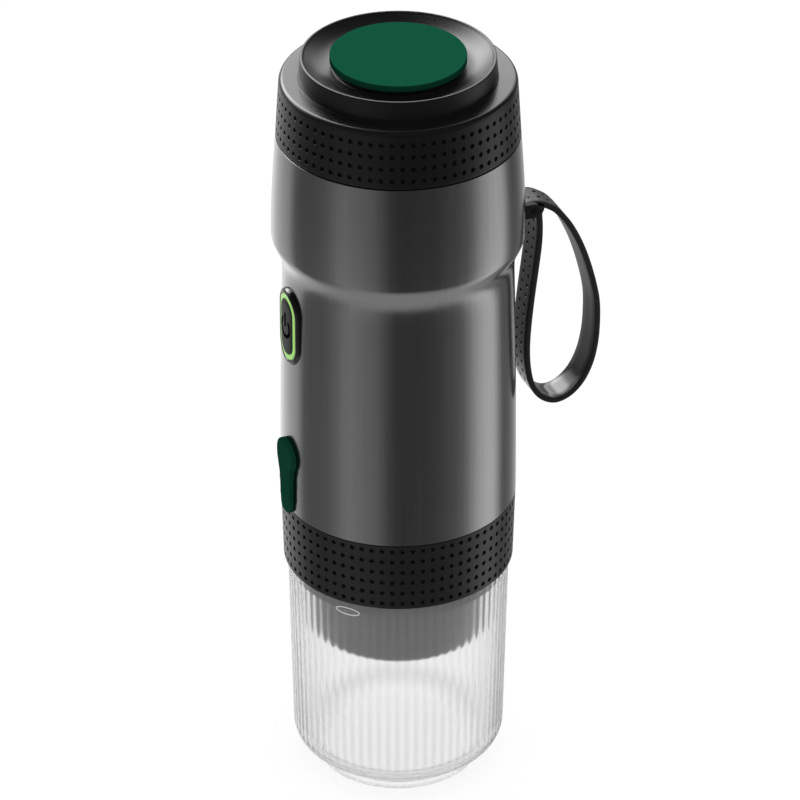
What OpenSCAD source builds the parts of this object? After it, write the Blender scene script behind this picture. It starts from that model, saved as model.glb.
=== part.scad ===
// Portable electric coffee maker: a pump machine that stands on its own clear cup.
// Millimetres, +Z up, the cup's foot on z = 0, front (button and charging port) towards -Y.

/* [Cup] */
// Radius of the foot that the maker stands on
cup_foot_r = 24.2; // [20:0.1:26]
// Height of the foot
cup_foot_h = 4.5; // [3:0.5:6]
// Outer radius just above the rounded lower edge
cup_low_r = 31.4; // [30:0.1:32.5]
// Outer radius at the shoulder under the grip band
cup_top_r = 32.7; // [32:0.1:33.4]
// Radius of the rounded lower edge
cup_round = 7; // [5:0.5:9]
// Height of the shoulder that meets the grip band
cup_h = 70.2; // [66:0.2:90]
// Thickness of the wall
cup_wall = 2.2; // [1.6:0.1:2.8]
// Thickness of the floor above the foot
cup_floor = 2.6; // [2:0.1:4]
// Height of the neck that pushes up into the collar
cup_neck_h = 11.5; // [8:0.5:13]
// Thickness of the neck
cup_neck_wall = 2; // [1.4:0.1:2.4]

/* [Grip band] */
// Height of the lower grip band
band_h = 21.8; // [20:0.2:30]
// Outer radius of the band at its lower edge
band_low_r = 33.85; // [33.5:0.05:36]
// Thickness of both rubber bands
band_t = 1.25; // [0.8:0.05:1.5]
// Wall of the collar's skirt behind the band
skirt_wall = 1.4; // [1.1:0.1:1.8]

/* [Body] */
// Outer radius of the waist at the band
waist_low_r = 34.5; // [34.2:0.05:36]
// Outer radius of the waist under the step
waist_top_r = 33.4; // [33:0.05:34.2]
// Height of the waist
waist_h = 76.2; // [72:0.2:90]
// Height of the curved step
step_h = 10.4; // [7:0.2:14]
// Largest radius, above the step
upper_max_r = 36.5; // [36:0.05:39]
// Outer radius at the top edge
upper_top_r = 34.9; // [34.6:0.05:36]
// Height of the upper part
upper_h = 31.3; // [30:0.1:50]
// Thickness of the metal shell
shell_wall = 1.4; // [1:0.1:1.6]

/* [Lid] */
// Height from the body's top edge to the lid's shoulder
lid_h = 17.8; // [17.4:0.1:24]
// Outer radius of the lid at the shoulder
lid_top_r = 33.8; // [33.5:0.05:34.5]
// Radius of the rounded shoulder edge
lid_edge_r = 1.3; // [0.8:0.1:1.6]
// Height of the raised ring above the shoulder
rim_h = 6.3; // [5:0.1:9]
// Outer radius of the raised ring at its base
ring_base_r = 28.3; // [28.1:0.1:30.5]
// Outer radius of the raised ring at its rim
rim_r = 27.8; // [26.5:0.1:28]
// Depth of the dish inside the rim
dish_depth = 3; // [2:0.1:4]
// Radius of the coloured disc
disc_r = 19.4; // [16:0.1:22]
// Height of the disc above the rim
disc_proud = 0.7; // [0.2:0.1:2]
// Height of the neck that the lid turns on
neck_h = 6.8; // [5:0.1:7]

/* [Button] */
// Height of the button's centre above the grip band
button_up = 61.3; // [54:0.1:62]
// Width of the black surround
bezel_w = 14.3; // [13:0.1:16]
// Height of the black surround
bezel_h = 23.8; // [22:0.1:28]
// Height of the surround above the shell
bezel_proud = 1; // [0.6:0.1:1.6]
// Width of the surround's rim outside the light ring
bezel_rim = 1.5; // [1:0.05:1.8]
// Width of the light ring
light_w = 1.4; // [0.8:0.05:1.6]
// Travel of the button
button_travel = 0.7; // [0.4:0.1:0.8]

/* [Charging port] */
// Height of the port's centre above the grip band
port_up = 17.9; // [16:0.1:20]
// Radius of the cover's round head
cover_head_r = 5.6; // [5.4:0.1:8.5]
// Width of the cover's tail
cover_tail_w = 7.6; // [6.5:0.1:11]
// Thickness of the cover's head
cover_t = 1.6; // [1.4:0.1:2.6]
// Thickness of the cover's tail
cover_tail_t = 1; // [0.8:0.1:1.4]
// How far the cover's tail reaches below the top of the grip band
cover_drop = 0.5; // [0.3:0.1:4]

/* [Strap] */
// Width of the strap
strap_w = 9.5; // [8:0.1:11]
// Thickness of the strap
strap_t = 1.8; // [1.4:0.1:2.2]
// Radius of the steel hinge pin
strap_pin_r = 1; // [0.8:0.1:1.2]
// Wall of the strap's eye around the pin
eye_wall = 1.2; // [1:0.1:1.3]
// Height of the strap's pin above the curved step
strap_up = 0.4; // [0.4:0.1:8]

/* [Brewing] */
// Height of the brew barrel that shows below the grip band
barrel_drop = 23.8; // [18:0.2:26]
// How much the barrel narrows towards its lower edge
barrel_taper = 1.6; // [0.5:0.1:2.4]
// Inner radius of the barrel
barrel_bore_r = 23.6; // [22.5:0.1:24]
// Inner radius of the capsule cradle at its mouth
capsule_r = 15.3; // [14.5:0.1:17]
// Length of the piercing needle
needle_h = 6.4; // [4:0.1:8]
// Inner radius of the water tank
tank_r = 26.2; // [22:0.1:26.4]
// Thickness of the tank's steel
tank_wall = 0.8; // [0.6:0.1:1]

/* [Drive] */
// Radius of a battery cell
cell_r = 9.2; // [9:0.05:9.3]
// Length of a battery cell
cell_h = 65; // [60:0.5:66]
// Radius of the motor's can
motor_r = 10; // [8:0.1:10.4]
// Length of the motor's can
motor_h = 30; // [20:0.5:40]
// Radius of the motor's shaft
shaft_r = 1; // [0.8:0.05:1.2]
// Height of the pump's gears
gear_h = 7; // [4:0.1:9]
// Teeth on each pump gear
gear_teeth = 10; // [9:1:14]
// Distance between the two pump gears' axes
gear_gap = 8; // [7.5:0.1:8.4]

/* [Hidden] */
// Smoothness, and how far a cut runs past a face
$fn = 64;
fine = 256;
edge_steps = 8;
cut = 0.5;

// Clearances between neighbouring pieces
seam = 0.3;
fit = 0.1;
press = 0.02;
running = 0.05;
slide_gap = 0.5;
soft_gap = 0.3;

// Heights of the stacked outside pieces
z_band = cup_h + seam;
z_waist = z_band + band_h;
z_step = z_waist + waist_h;
z_upper = z_step + step_h;
z_lid = z_upper + upper_h;
z_lid_foot = z_lid + seam;
z_shoulder = z_lid + lid_h;
z_lid_band = z_shoulder - lid_edge_r;
z_rim = z_shoulder + rim_h;
z_disc = z_rim + disc_proud;
widest_r = max(waist_low_r, upper_max_r);

// Radii of the nest of band, collar, cup neck, socket and brew barrel
band_seat_r = band_low_r - band_t;
band_round = 0.9;
skirt_in_r = band_seat_r - skirt_wall;
cup_neck_r = skirt_in_r - slide_gap;
cup_mouth_r = cup_neck_r - cup_neck_wall;
socket_wall = 1.8;
socket_out_r = cup_mouth_r - slide_gap - soft_gap;
socket_in_r = socket_out_r - socket_wall;
barrel_neck_r = socket_in_r - soft_gap;
barrel_r = cup_mouth_r - 2 * slide_gap;

// Collar: a deck across the maker, a socket below it and a spigot into the shell
deck_t = 3;
deck_down = 6.3;
z_deck = z_waist - deck_down;
z_deck_top = z_deck + deck_t;
spigot_h = 4.2;
spigot_wall = 1.3;
spigot_r = inside_r(z_waist, z_waist + spigot_h);
z_spigot = z_waist + spigot_h;
socket_h = 12;
z_socket = z_deck - socket_h;
cup_seal_r = 0.55;
cup_seal_up = 5;
z_cup_seal = z_band + cup_seal_up;
cup_seal_mid_r = cup_neck_r + cup_seal_r + fit + running;

// Screws
screw_r = 0.9;
screw_head_r = 1.8;
screw_head_h = 1.3;
screw_bite = 4;
screw_place_r = (socket_out_r + skirt_in_r) / 2;
screw_boss_r = skirt_in_r - screw_place_r - fit;
pump_screw_r = 0.8;
pump_screw_head_r = 1.5;
pump_screw_head_h = 1.2;
pump_screw_bite = 4.8;

// Chassis and cells
plate_t = 3;
recess = 1;
z_cell = z_spigot + plate_t - recess;
z_plate_hi = z_cell + cell_h - recess;
z_plate_top = z_plate_hi + plate_t;
z_pump = z_spigot + plate_t;
cell_place_r = 21;
cell_angles = [90, 210, 330];
pillar_place_r = 28.5;
pillar_angles = [30, 150, 245, 295];
pillar_r = 1.6;

// Pump and its pipes
pump_floor = 3.3;
pump_lobe = 3.8;
z_gear = z_pump + pump_floor + fit;
z_pump_cover = z_gear + gear_h + fit;
pump_cover_t = 3;
z_motor = z_pump_cover + pump_cover_t;
shaft_bottom = z_pump + 1.5;
shaft_in_motor = 11.5;
pin_in_cover = 1.9;
gear_module = gear_gap / gear_teeth;
gear_backlash = 0.05;
gear_axis = gear_gap + gear_backlash;
pressure_angle = 25;
tooth_play = 0.6;
gear_tip_r = gear_gap / 2 + 0.8 * gear_module;
gear_root_r = gear_gap / 2 - 1.1 * gear_module;
gear_base_r = gear_gap / 2 * cos(pressure_angle);
tooth_radii = heights(gear_base_r, gear_tip_r, 5);
pump_r = gear_tip_r + pump_lobe;
pump_screw_out = pump_r - 2;
pump_screw_spots = [[pump_screw_out, 0], [0, pump_screw_out], [-pump_screw_out, -gear_axis],
    [0, -gear_axis - pump_screw_out]];
port_bore_r = 1.2;
riser_bore_r = 1.3;
pipe_r = 2;
elbow_r = 2.8;
port_boss_r = pipe_r + 1;
port_out = 0.45 * gear_gap;
feed_up = 6;
feed_face = 9;
riser_angle = 150;
riser_place_r = 17;
riser = polar(riser_place_r, riser_angle);
feed_start = [-port_out, -gear_axis / 2];
feed_way = riser - feed_start;
feed_turn = atan2(feed_way[1], feed_way[0]);

// Water tank, heater and neck
heater_t = 4.5;
heater_inset = 2.2;
heater_gap = 2.5;
z_heater = z_plate_top + heater_gap;
z_tank = z_heater + heater_t;
z_tank_pipe = z_heater + cut;
z_neck = z_lid + neck_h;
gasket_t = 0.8;
z_flange = z_neck + gasket_t;
z_seal = z_flange + tank_wall;
tank_out_r = tank_r + tank_wall;
neck_flange_h = 6;
z_neck_low = z_lid - neck_flange_h;
tank_shoulder = 4;
sensor_r = 2.2;
sensor_angle = 60;
post_r = 2.5;
post_angles = [0, 110, 210, 300];
post_place_r = 18;

// Lid
seal_t = 1.6;
liner_t = 1.6;
z_liner = z_seal + seal_t;
z_ceiling = z_liner + liner_t;
plug_h = 5.6;
plug_wall = 1.6;
lid_skirt = 0.35;
lid_bore_r = lid_top_r - band_t - lid_skirt;
neck_r = lid_bore_r - slide_gap - soft_gap;
neck_wall = 4.3;
mouth_out_r = neck_r - neck_wall - fit;
mouth_r = mouth_out_r - tank_wall;
lid_land = 5.4;
lid_cavity_r = lid_bore_r - lid_land;
lid_web = 2.2;
rim_flat = 0.5;
dish_lip = 0.6;
z_dish = z_rim - dish_depth;
disc_recess = 1.4;
disc_edge = 0.4;
disc_t = 2;
z_disc_seat = z_disc - disc_t;
pedestal_r = disc_r - 0.7;
disc_boss_r = disc_r - 3;
lid_screw_angles = [30, 150, 270];
lid_screw_place_r = (lid_cavity_r + lid_bore_r) / 2;
lid_head_h = 0.8;

// Board, switch and charging socket
board_front = 27.6;
board_t = 1.6;
board_w = 20;
chip_w = 8;
chip_t = 1.2;
chip_ups = [30, 42];
switch_w = 6;
switch_t = 2.4;
stem_r = 1.7;
z_port = z_waist + port_up;
usb_w = 9;
usb_h = 3.3;
usb_wall = 0.35;
usb_len = 5.8;
usb_back = 1;
tongue_w = 6.6;
tongue_t = 0.7;
tongue_len = 3.6;

// Button
z_button = z_waist + button_up;
face_r = shell_r(z_button) + bezel_proud;
bezel_flange = 1.6;
bezel_back_r = board_front + switch_t + 0.8;
light_w_out = bezel_w - 2 * bezel_rim;
light_h_out = bezel_h - 2 * bezel_rim;
cap_gap = 0.2;
cap_proud = 0.2;
cap_shrink = 2 * (light_w + cap_gap);
cap_back_r = board_front + switch_t + 1;

// Port cover
cover_back_r = waist_low_r + soft_gap;
z_cover = z_waist - cover_drop;
tail_h = z_port - z_cover;
tail_corner = 2.4;
bung_w = 7.6;
bung_h = 1.5;
bung_in = 2.6;
peg_up = 2.1;
peg_r = 1.2;
peg_head_r = 1.9;
peg_head_t = 1;
peg_clear = 0.6;

// Strap
z_pin = z_upper + strap_up;
eye_r = strap_pin_r + running + eye_wall;
pin_out = upper_max_r + eye_r + slide_gap;
ear_t = 1.6;
lug_w = strap_w + 2 * (soft_gap + ear_t);
lug_h = 2 * eye_r + 1;
lug_plate_t = 2;
lug_grow = 2.5;
lug_plate_r = inside_r(z_pin - lug_h / 2 - lug_grow, z_pin + lug_h / 2 + lug_grow);

// Middle line of the strap: distance out from the pin and height above it, once round the loop
strap_route = [[1.6, 0.6], [4.6, 0], [8.4, -2.8], [12.3, -8], [15.6, -14.5], [18.2, -21.5],
    [20.4, -29.5], [21.6, -36], [21.8, -43], [21.3, -50], [19.8, -56.5], [17, -62], [13, -65.6],
    [8.5, -66.6], [4.3, -64.4], [1.4, -60], [0, -54], [-0.4, -47], [0, -39], [0.9, -30], [2, -21],
    [2.9, -13], [3.1, -7], [2.7, -1]];
// Where the two strands join, a short stub runs to the eye
strap_stub = [[0, 1.5], [1.6, 1.5], [4, 0.4], [3.9, -2.4], [2, -2], [0, -1.7]];

// Brewing
seal_lift = 1.6;
z_barrel_top = z_deck - seal_lift;
z_barrel_low = z_band - barrel_drop;
barrel_floor = 2.5;
barrel_edge = 1.6;
barrel_low_r = barrel_r - barrel_taper;
z_cradle = z_barrel_low + barrel_floor;
cradle_wall = 1.2;
cradle_low_r = capsule_r - 1.5;
cradle_hole_r = cradle_low_r - 3;
cradle_foot = 4;
cradle_flange_t = 1.5;
z_screen = z_cradle + cradle_foot + cradle_wall;
screen_t = 0.8;
screen_hole_r = 0.7;
shower_t = 1.4;
shower_r = 19.5;
shower_channel = 0.6;
shower_hole_r = 0.8;
shower_rings = [7, 13];
needle_tip_r = 0.3;
needle_root_r = 1.6;
z_needle = z_deck - shower_t - needle_h;
spout_r = 2.8;
spout_wall = 1;
spout_h = 4;
spout_flange_t = 1;

// Outside radius of the body at a height
function waist_r(z) = waist_low_r - (waist_low_r - waist_top_r) * pow((z - z_waist) / waist_h, 1.8);
function step_r(z) =
    waist_top_r + (upper_max_r - waist_top_r) * (1 - cos(180 * (z - z_step) / step_h)) / 2;
function upper_r(z) = upper_max_r - (upper_max_r - upper_top_r) * pow((z - z_upper) / upper_h, 1.6);
function shell_r(z) =
    z < z_step ? waist_r(max(z, z_waist)) : z < z_upper ? step_r(z) : upper_r(min(z, z_lid));

// Largest radius that still fits inside the shell between two heights
function inside_r(z0, z1) = min([for (z = heights(z0, z1, edge_steps)) shell_r(z)]) - shell_wall - fit;

// Outside radius of the lid's band at a height
function lid_r(z) = upper_top_r + (lid_top_r - upper_top_r) * (z - z_lid) / lid_h;

// Values from a to b in n equal steps
function heights(a, b, n) = [for (i = [0:n]) a + (b - a) * i / n];

// A point at a radius and an angle
function polar(r, a) = [r * cos(a), r * sin(a)];

// Points on an arc
function arc(x, y, r, a, b) = [for (t = heights(a, b, edge_steps)) [x, y] + polar(r, t)];

// A list turned end for end
function backwards(list) = [for (i = [len(list) - 1:-1:0]) list[i]];

// A body of revolution from its half section
module turned(points) {
    rotate_extrude() polygon(points);
}

// A round bar or bore between two heights
module rod(r, z0, z1) {
    translate([0, 0, z0]) cylinder(r = r, h = z1 - z0);
}

// A plain ring between two heights
module ring(r_out, r_in, z0, z1) {
    difference() {
        rod(r_out, z0, z1);
        rod(r_in, z0 - cut, z1 + cut);
    }
}

// Places its children on a circle
module around(angles, r) {
    for (a = angles) translate(polar(r, a)) children();
}

// Places its children on the axis of a pipe or of the second gear
module at_riser() {
    translate(riser) children();
}

module at_outlet() {
    translate([port_out, -gear_axis / 2]) children();
}

module at_idler() {
    translate([0, -gear_axis]) children();
}

// An outline with round ends, upright or lying
module oblong(w, h) {
    square([w, h - w], center = true);
    for (s = [-1, 1]) translate([0, s * (h - w) / 2]) circle(d = w);
}

module oblong_flat(w, h) {
    rotate(90) oblong(h, w);
}

// An outline pushed out of the front or the back, from one distance off the axis to another
module front(z, r0, r1) {
    translate([0, -r0, z]) rotate([90, 0, 0]) linear_extrude(r1 - r0) children();
}

module back(z, r0, r1) {
    mirror([0, 1, 0]) front(z, r0, r1) children();
}

// Keeps what lies inside a cylinder around the maker's axis
module within(r) {
    intersection() {
        children();
        rod(r, z_waist, z_lid, $fn = fine);
    }
}

// An outline in the strap's plane with the pin at its origin, as wide as given
module across(w) {
    translate([-w / 2, pin_out, z_pin]) rotate([90, 0, 90]) linear_extrude(w) children();
}

// Clear cup that the coffee runs into and the maker stands on
module cup() {
    turn_z = cup_foot_h + cup_round;
    floor_z = cup_foot_h + cup_floor;
    in_round = cup_round - cup_wall;
    neck_z = cup_h + cup_neck_h;
    round_mid_r = cup_low_r - cup_round;
    outer = concat([[0, 0], [cup_foot_r, 0], [cup_foot_r, cup_foot_h]],
        arc(round_mid_r, turn_z, cup_round, -90, 0),
        [[cup_top_r, cup_h], [cup_neck_r, cup_h], [cup_neck_r, neck_z], [cup_mouth_r, neck_z]]);
    inner = concat([[cup_mouth_r, cup_h - cup_wall], [cup_top_r - cup_wall, cup_h - 2 * cup_wall]],
        arc(round_mid_r, floor_z + in_round, in_round, 0, -90), [[0, floor_z]]);
    color([0.88, 0.91, 0.92, 0.4]) turned(concat(outer, inner));
}

// Rubber ring that holds the cup's neck
module cup_seal() {
    color("dimgray") rotate_extrude() translate([cup_seal_mid_r, z_cup_seal]) circle(r = cup_seal_r);
}

// Frame that joins cup, brew barrel and shell
module lower_collar() {
    groove = cup_seal_r + running;
    color([0.1, 0.1, 0.1]) difference() {
        union() {
            ring(band_seat_r, skirt_in_r, z_band, z_waist);
            ring(spigot_r, spigot_r - spigot_wall, z_waist, z_spigot);
            ring(band_seat_r, spigot_r - spigot_wall, z_waist - deck_t, z_waist);
            rod(skirt_in_r + cut, z_deck, z_deck_top);
            ring(socket_out_r, socket_in_r, z_socket, z_deck + cut);
        }
        ring(cup_seal_mid_r + groove, skirt_in_r - cut, z_cup_seal - groove, z_cup_seal + groove);
        at_outlet() rod(pipe_r + fit, z_deck - cut, z_deck_top + cut);
        around(cell_angles, screw_place_r) rod(screw_r + fit, z_deck - cut, z_deck_top + cut);
        front(z_waist + peg_up, spigot_r - 2 * spigot_wall, spigot_r + cut) circle(r = peg_r + fit);
    }
}

// Rubber band around the collar
module lower_grip_band() {
    seat_r = band_seat_r + running;
    top_z = z_waist - running;
    points = concat([[seat_r, z_band]],
        arc(band_low_r - band_round, z_band + band_round, band_round, -90, 0),
        [[waist_low_r - running, top_z], [seat_r, top_z]]);
    color([0.13, 0.13, 0.13]) turned(points);
}

// Screws up through the collar's deck into the chassis
module collar_screws() {
    head_r = min(screw_head_r, screw_boss_r);
    color("silver") around(cell_angles, screw_place_r) {
        rod(head_r, z_deck - screw_head_h, z_deck);
        rod(screw_r, z_deck - cut, z_deck_top + screw_bite);
    }
}

// Metal shell: waist, curved step and upper part, with its windows
module body_shell() {
    steps = concat(heights(z_waist, z_step, 10), heights(z_step + step_h / 12, z_upper, 11),
        heights(z_upper + upper_h / 8, z_lid, 7));
    outer = [for (z = steps) [shell_r(z), z]];
    inner = [for (z = backwards(steps)) [shell_r(z) - shell_wall, z]];
    past = widest_r + cut;
    color([0.33, 0.33, 0.34]) difference() {
        turned(concat(outer, inner));
        front(z_button, board_front, past) oblong(bezel_w + 2 * fit, bezel_h + 2 * fit);
        front(z_port, board_front, past) oblong_flat(usb_w + 2 * fit, usb_h + 2 * fit);
        front(z_waist + peg_up, board_front, past) circle(r = peg_r + fit);
        back(z_pin, tank_out_r, past) square([lug_w + 2 * fit, lug_h + 2 * fit], center = true);
    }
}

// Ring that closes the shell at the top and carries tank and lid
module neck_ring() {
    flange_r = inside_r(z_neck_low, z_lid);
    color([0.09, 0.09, 0.09]) union() {
        ring(neck_r, mouth_out_r + fit, z_neck_low, z_neck);
        ring(flange_r, neck_r - cut, z_neck_low, z_lid);
    }
}

// Steel tank hung by its flange, with a pipe down through the heater
module water_tank() {
    top_z = z_neck_low - slide_gap;
    low_z = top_z - tank_shoulder;
    floor_z = z_tank + tank_wall;
    outer = [[0, z_tank], [tank_out_r, z_tank], [tank_out_r, low_z], [mouth_out_r, top_z],
        [mouth_out_r, z_flange], [neck_r, z_flange], [neck_r, z_seal]];
    inner = [[mouth_r, z_seal], [mouth_r, top_z], [tank_r, low_z], [tank_r, floor_z], [0, floor_z]];
    color([0.72, 0.73, 0.74]) difference() {
        union() {
            turned(concat(outer, inner));
            at_riser() rod(pipe_r, z_tank_pipe, z_tank + cut);
        }
        at_riser() rod(port_bore_r, z_tank_pipe - cut, z_tank + tank_wall + cut);
    }
}

// Rubber ring under the tank's flange
module tank_gasket() {
    color("dimgray") ring(neck_r, mouth_out_r + fit, z_neck, z_flange);
}

// Heater under the tank's floor
module heater_plate() {
    color([0.8, 0.78, 0.75]) difference() {
        rod(tank_r - heater_inset, z_heater, z_tank);
        at_riser() rod(pipe_r + soft_gap, z_heater - cut, z_tank + cut);
    }
}

// Sensor against the heater
module temperature_sensor() {
    color("black") around([sensor_angle], post_place_r) rod(sensor_r, z_plate_top, z_heater);
}

// Pockets for the cells' ends and the board's edge
module cell_pockets(z0, z1) {
    around(cell_angles, cell_place_r) rod(cell_r + fit, z0, z1);
}

module board_pocket(z0, z1) {
    corner = [-board_w / 2 - fit, -board_front - fit, z0];
    translate(corner) cube([board_w + 2 * fit, board_t + 2 * fit, z1 - z0]);
}

// Lower chassis plate with bosses for the collar's screws
module chassis_lower() {
    bite_z = z_deck_top + screw_bite + fit;
    color([0.2, 0.2, 0.2]) difference() {
        union() {
            rod(inside_r(z_spigot, z_pump), z_spigot, z_pump);
            around(cell_angles, screw_place_r) rod(screw_boss_r, z_deck_top, z_spigot + cut);
        }
        cell_pockets(z_cell, z_pump + cut);
        board_pocket(z_cell, z_pump + cut);
        at_outlet() rod(pipe_r + fit, z_spigot - cut, z_pump + cut);
        around(cell_angles, screw_place_r) rod(screw_r + press, z_deck_top - cut, bite_z);
    }
}

// Upper chassis plate with posts under the heater and a notch behind the button
module chassis_upper() {
    notch = 4 * bezel_flange;
    color([0.2, 0.2, 0.2]) difference() {
        union() {
            rod(inside_r(z_plate_hi, z_plate_top), z_plate_hi, z_plate_top);
            around(post_angles, post_place_r) rod(post_r, z_plate_top - cut, z_heater);
        }
        cell_pockets(z_plate_hi - cut, z_plate_hi + recess);
        board_pocket(z_plate_hi - cut, z_plate_hi + recess);
        at_riser() rod(pipe_r + fit, z_plate_hi - cut, z_plate_top + cut);
        front(z_button, bezel_back_r - slide_gap, widest_r) oblong(bezel_w + notch, bezel_h + notch);
    }
}

// Hexagonal brass pillars between the two plates
module chassis_pillars() {
    color("darkgoldenrod") around(pillar_angles, pillar_place_r)
        rod(pillar_r, z_pump, z_plate_hi, $fn = 6);
}

// Three round cells
module battery_cells() {
    color([0.16, 0.35, 0.62]) around(cell_angles, cell_place_r) rod(cell_r, z_cell, z_cell + cell_h);
}

// Control board with two chips on its inner side
module control_board() {
    chip_y = board_t - board_front - cut;
    color([0.05, 0.3, 0.16]) union() {
        translate([-board_w / 2, -board_front, z_cell]) cube([board_w, board_t, cell_h]);
        for (up = chip_ups) translate([-chip_w / 2, chip_y, z_cell + up])
            cube([chip_w, chip_t + cut, chip_w]);
    }
}

// Switch body behind the button
module tact_switch() {
    color([0.15, 0.15, 0.15]) difference() {
        front(z_button, board_front, board_front + switch_t) square(switch_w, center = true);
        front(z_button, board_front + fit, board_front + switch_t + cut) circle(r = stem_r + fit);
    }
}

// Charging socket with its tongue
module usb_port() {
    back_r = board_front + usb_back;
    end_r = board_front + usb_len;
    color("silver") union() {
        difference() {
            front(z_port, board_front, end_r) oblong_flat(usb_w, usb_h);
            front(z_port, back_r, end_r + cut) oblong_flat(usb_w - 2 * usb_wall, usb_h - 2 * usb_wall);
        }
        front(z_port, back_r - usb_wall, board_front + tongue_len)
            square([tongue_w, tongue_t], center = true);
    }
}

// Involute teeth
function involute(a) = tan(a) * 180 / PI - a;
function flank(r) = involute(acos(min(1, gear_base_r / r)));
function half_tooth(r) = 90 / gear_teeth - tooth_play + involute(pressure_angle) - flank(r);
function tooth(a) = concat([polar(gear_root_r, a - half_tooth(gear_base_r))],
    [for (r = tooth_radii) polar(r, a - half_tooth(r))],
    [for (r = backwards(tooth_radii)) polar(r, a + half_tooth(r))],
    [polar(gear_root_r, a + half_tooth(gear_base_r))]);

// A spur gear with the middle of one tooth at the given angle
module spur_gear(start, bore_r) {
    points = [for (i = [0:gear_teeth - 1]) each tooth(start + 360 / gear_teeth * i)];
    translate([0, 0, z_gear]) linear_extrude(gear_h) difference() {
        polygon(points);
        circle(r = bore_r);
    }
}

// The pump's outline: two round lobes
module lobes(r, z0, z1) {
    rod(r, z0, z1);
    at_idler() rod(r, z0, z1);
}

// A bar along the feed pipe's level run
module feed_run(s0, s1, r) {
    start = [feed_start[0], feed_start[1], z_pump + feed_up];
    translate(start) rotate([0, 0, feed_turn]) rotate([0, 90, 0]) rod(r, s0, s1);
}

module at_pump_screws() {
    for (spot = pump_screw_spots) translate(spot) children();
}

// Pump housing with the gear pocket, both ports and the bearings
module pump_body() {
    color([0.62, 0.62, 0.6]) difference() {
        union() {
            lobes(pump_r, z_pump, z_pump_cover);
            feed_run(0, feed_face, port_boss_r);
        }
        lobes(gear_tip_r + fit, z_gear - fit, z_pump_cover + cut);
        at_outlet() rod(port_bore_r, z_pump - cut, z_gear + gear_h / 2);
        feed_run(0, feed_face + cut, port_bore_r);
        rod(shaft_r + running, shaft_bottom - fit, z_gear);
        at_idler() rod(shaft_r + press, shaft_bottom, z_gear);
        at_pump_screws()
            rod(pump_screw_r + press, z_pump_cover - pump_screw_bite - fit, z_pump_cover + cut);
    }
}

// Lid of the pump that the motor stands on
module pump_cover() {
    head_z = z_motor - pump_screw_head_h - fit;
    color([0.55, 0.55, 0.53]) difference() {
        lobes(pump_r, z_pump_cover, z_motor);
        rod(shaft_r + running, z_pump_cover - cut, z_motor + cut);
        at_idler() rod(shaft_r + press, z_pump_cover - cut, z_pump_cover + pin_in_cover + fit);
        at_pump_screws() {
            rod(pump_screw_r + fit, z_pump_cover - cut, z_motor + cut);
            rod(pump_screw_head_r + fit, head_z, z_motor + cut);
        }
    }
}

// Sunk screws of the pump's lid
module pump_screws() {
    head_z = z_motor - pump_screw_head_h - fit;
    color("silver") at_pump_screws() {
        rod(pump_screw_head_r, head_z, z_motor - fit);
        rod(pump_screw_r, z_pump_cover - pump_screw_bite, head_z + cut);
    }
}

// Motor
module motor_can() {
    color([0.7, 0.7, 0.72]) difference() {
        rod(motor_r, z_motor, z_motor + motor_h);
        rod(shaft_r + running, z_motor - cut, z_motor + shaft_in_motor + cut);
    }
}

module motor_shaft() {
    color("silver") rod(shaft_r, shaft_bottom, z_motor + shaft_in_motor);
}

// The two meshing pump gears and the second one's pin
module drive_gear() {
    color("goldenrod") spur_gear(270, shaft_r + press);
}

module driven_gear() {
    color("goldenrod") at_idler() spur_gear(90 + 180 / gear_teeth, shaft_r + running);
}

module idler_pin() {
    color("silver") at_idler() rod(shaft_r, shaft_bottom + fit, z_pump_cover + pin_in_cover);
}

// Bent pipe from the tank down to the pump
module feed_tube() {
    bend_z = z_pump + feed_up;
    run = norm(feed_way);
    color([0.85, 0.83, 0.78]) difference() {
        union() {
            feed_run(feed_face, run, pipe_r);
            at_riser() rod(pipe_r, bend_z, z_tank_pipe);
            at_riser() rod(elbow_r, bend_z - elbow_r, bend_z + elbow_r);
        }
        feed_run(feed_face - cut, run, port_bore_r);
        at_riser() rod(riser_bore_r, bend_z - port_bore_r - fit, z_tank_pipe + cut);
    }
}

// Straight pipe from the pump through the deck
module outlet_tube() {
    color("silver") at_outlet() ring(pipe_r, port_bore_r, z_deck, z_pump);
}

// Plate under the deck that spreads the water
module shower_plate() {
    low_z = z_deck - shower_t;
    color([0.75, 0.75, 0.76]) difference() {
        rod(shower_r, low_z, z_deck);
        rod(max(shower_rings) + 2 * shower_hole_r, z_deck - shower_channel, z_deck + cut);
        for (r = shower_rings) around([for (i = [0:7]) 45 * i + r], r)
            rod(shower_hole_r, low_z - cut, z_deck);
    }
}

// Needle that opens the capsule
module piercing_needle() {
    color("silver") translate([0, 0, z_needle])
        cylinder(r1 = needle_tip_r, r2 = needle_root_r, h = needle_h);
}

// Red rubber ring between deck and barrel
module brew_seal() {
    color([0.75, 0.2, 0.15]) ring(barrel_neck_r - fit, shower_r + slide_gap, z_barrel_top, z_deck);
}

// Tapered barrel that shows through the cup
module brew_barrel() {
    z_ledge = z_socket - soft_gap;
    mouth_r = spout_r + fit;
    outer = concat([[mouth_r, z_barrel_low]],
        arc(barrel_low_r - barrel_edge, z_barrel_low + barrel_edge, barrel_edge, -90, 0),
        [[barrel_r, z_ledge], [barrel_neck_r, z_ledge], [barrel_neck_r, z_barrel_top]]);
    inner = [[barrel_bore_r, z_barrel_top], [barrel_bore_r, z_cradle], [mouth_r, z_cradle]];
    color([0.42, 0.42, 0.43]) turned(concat(outer, inner));
}

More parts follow.
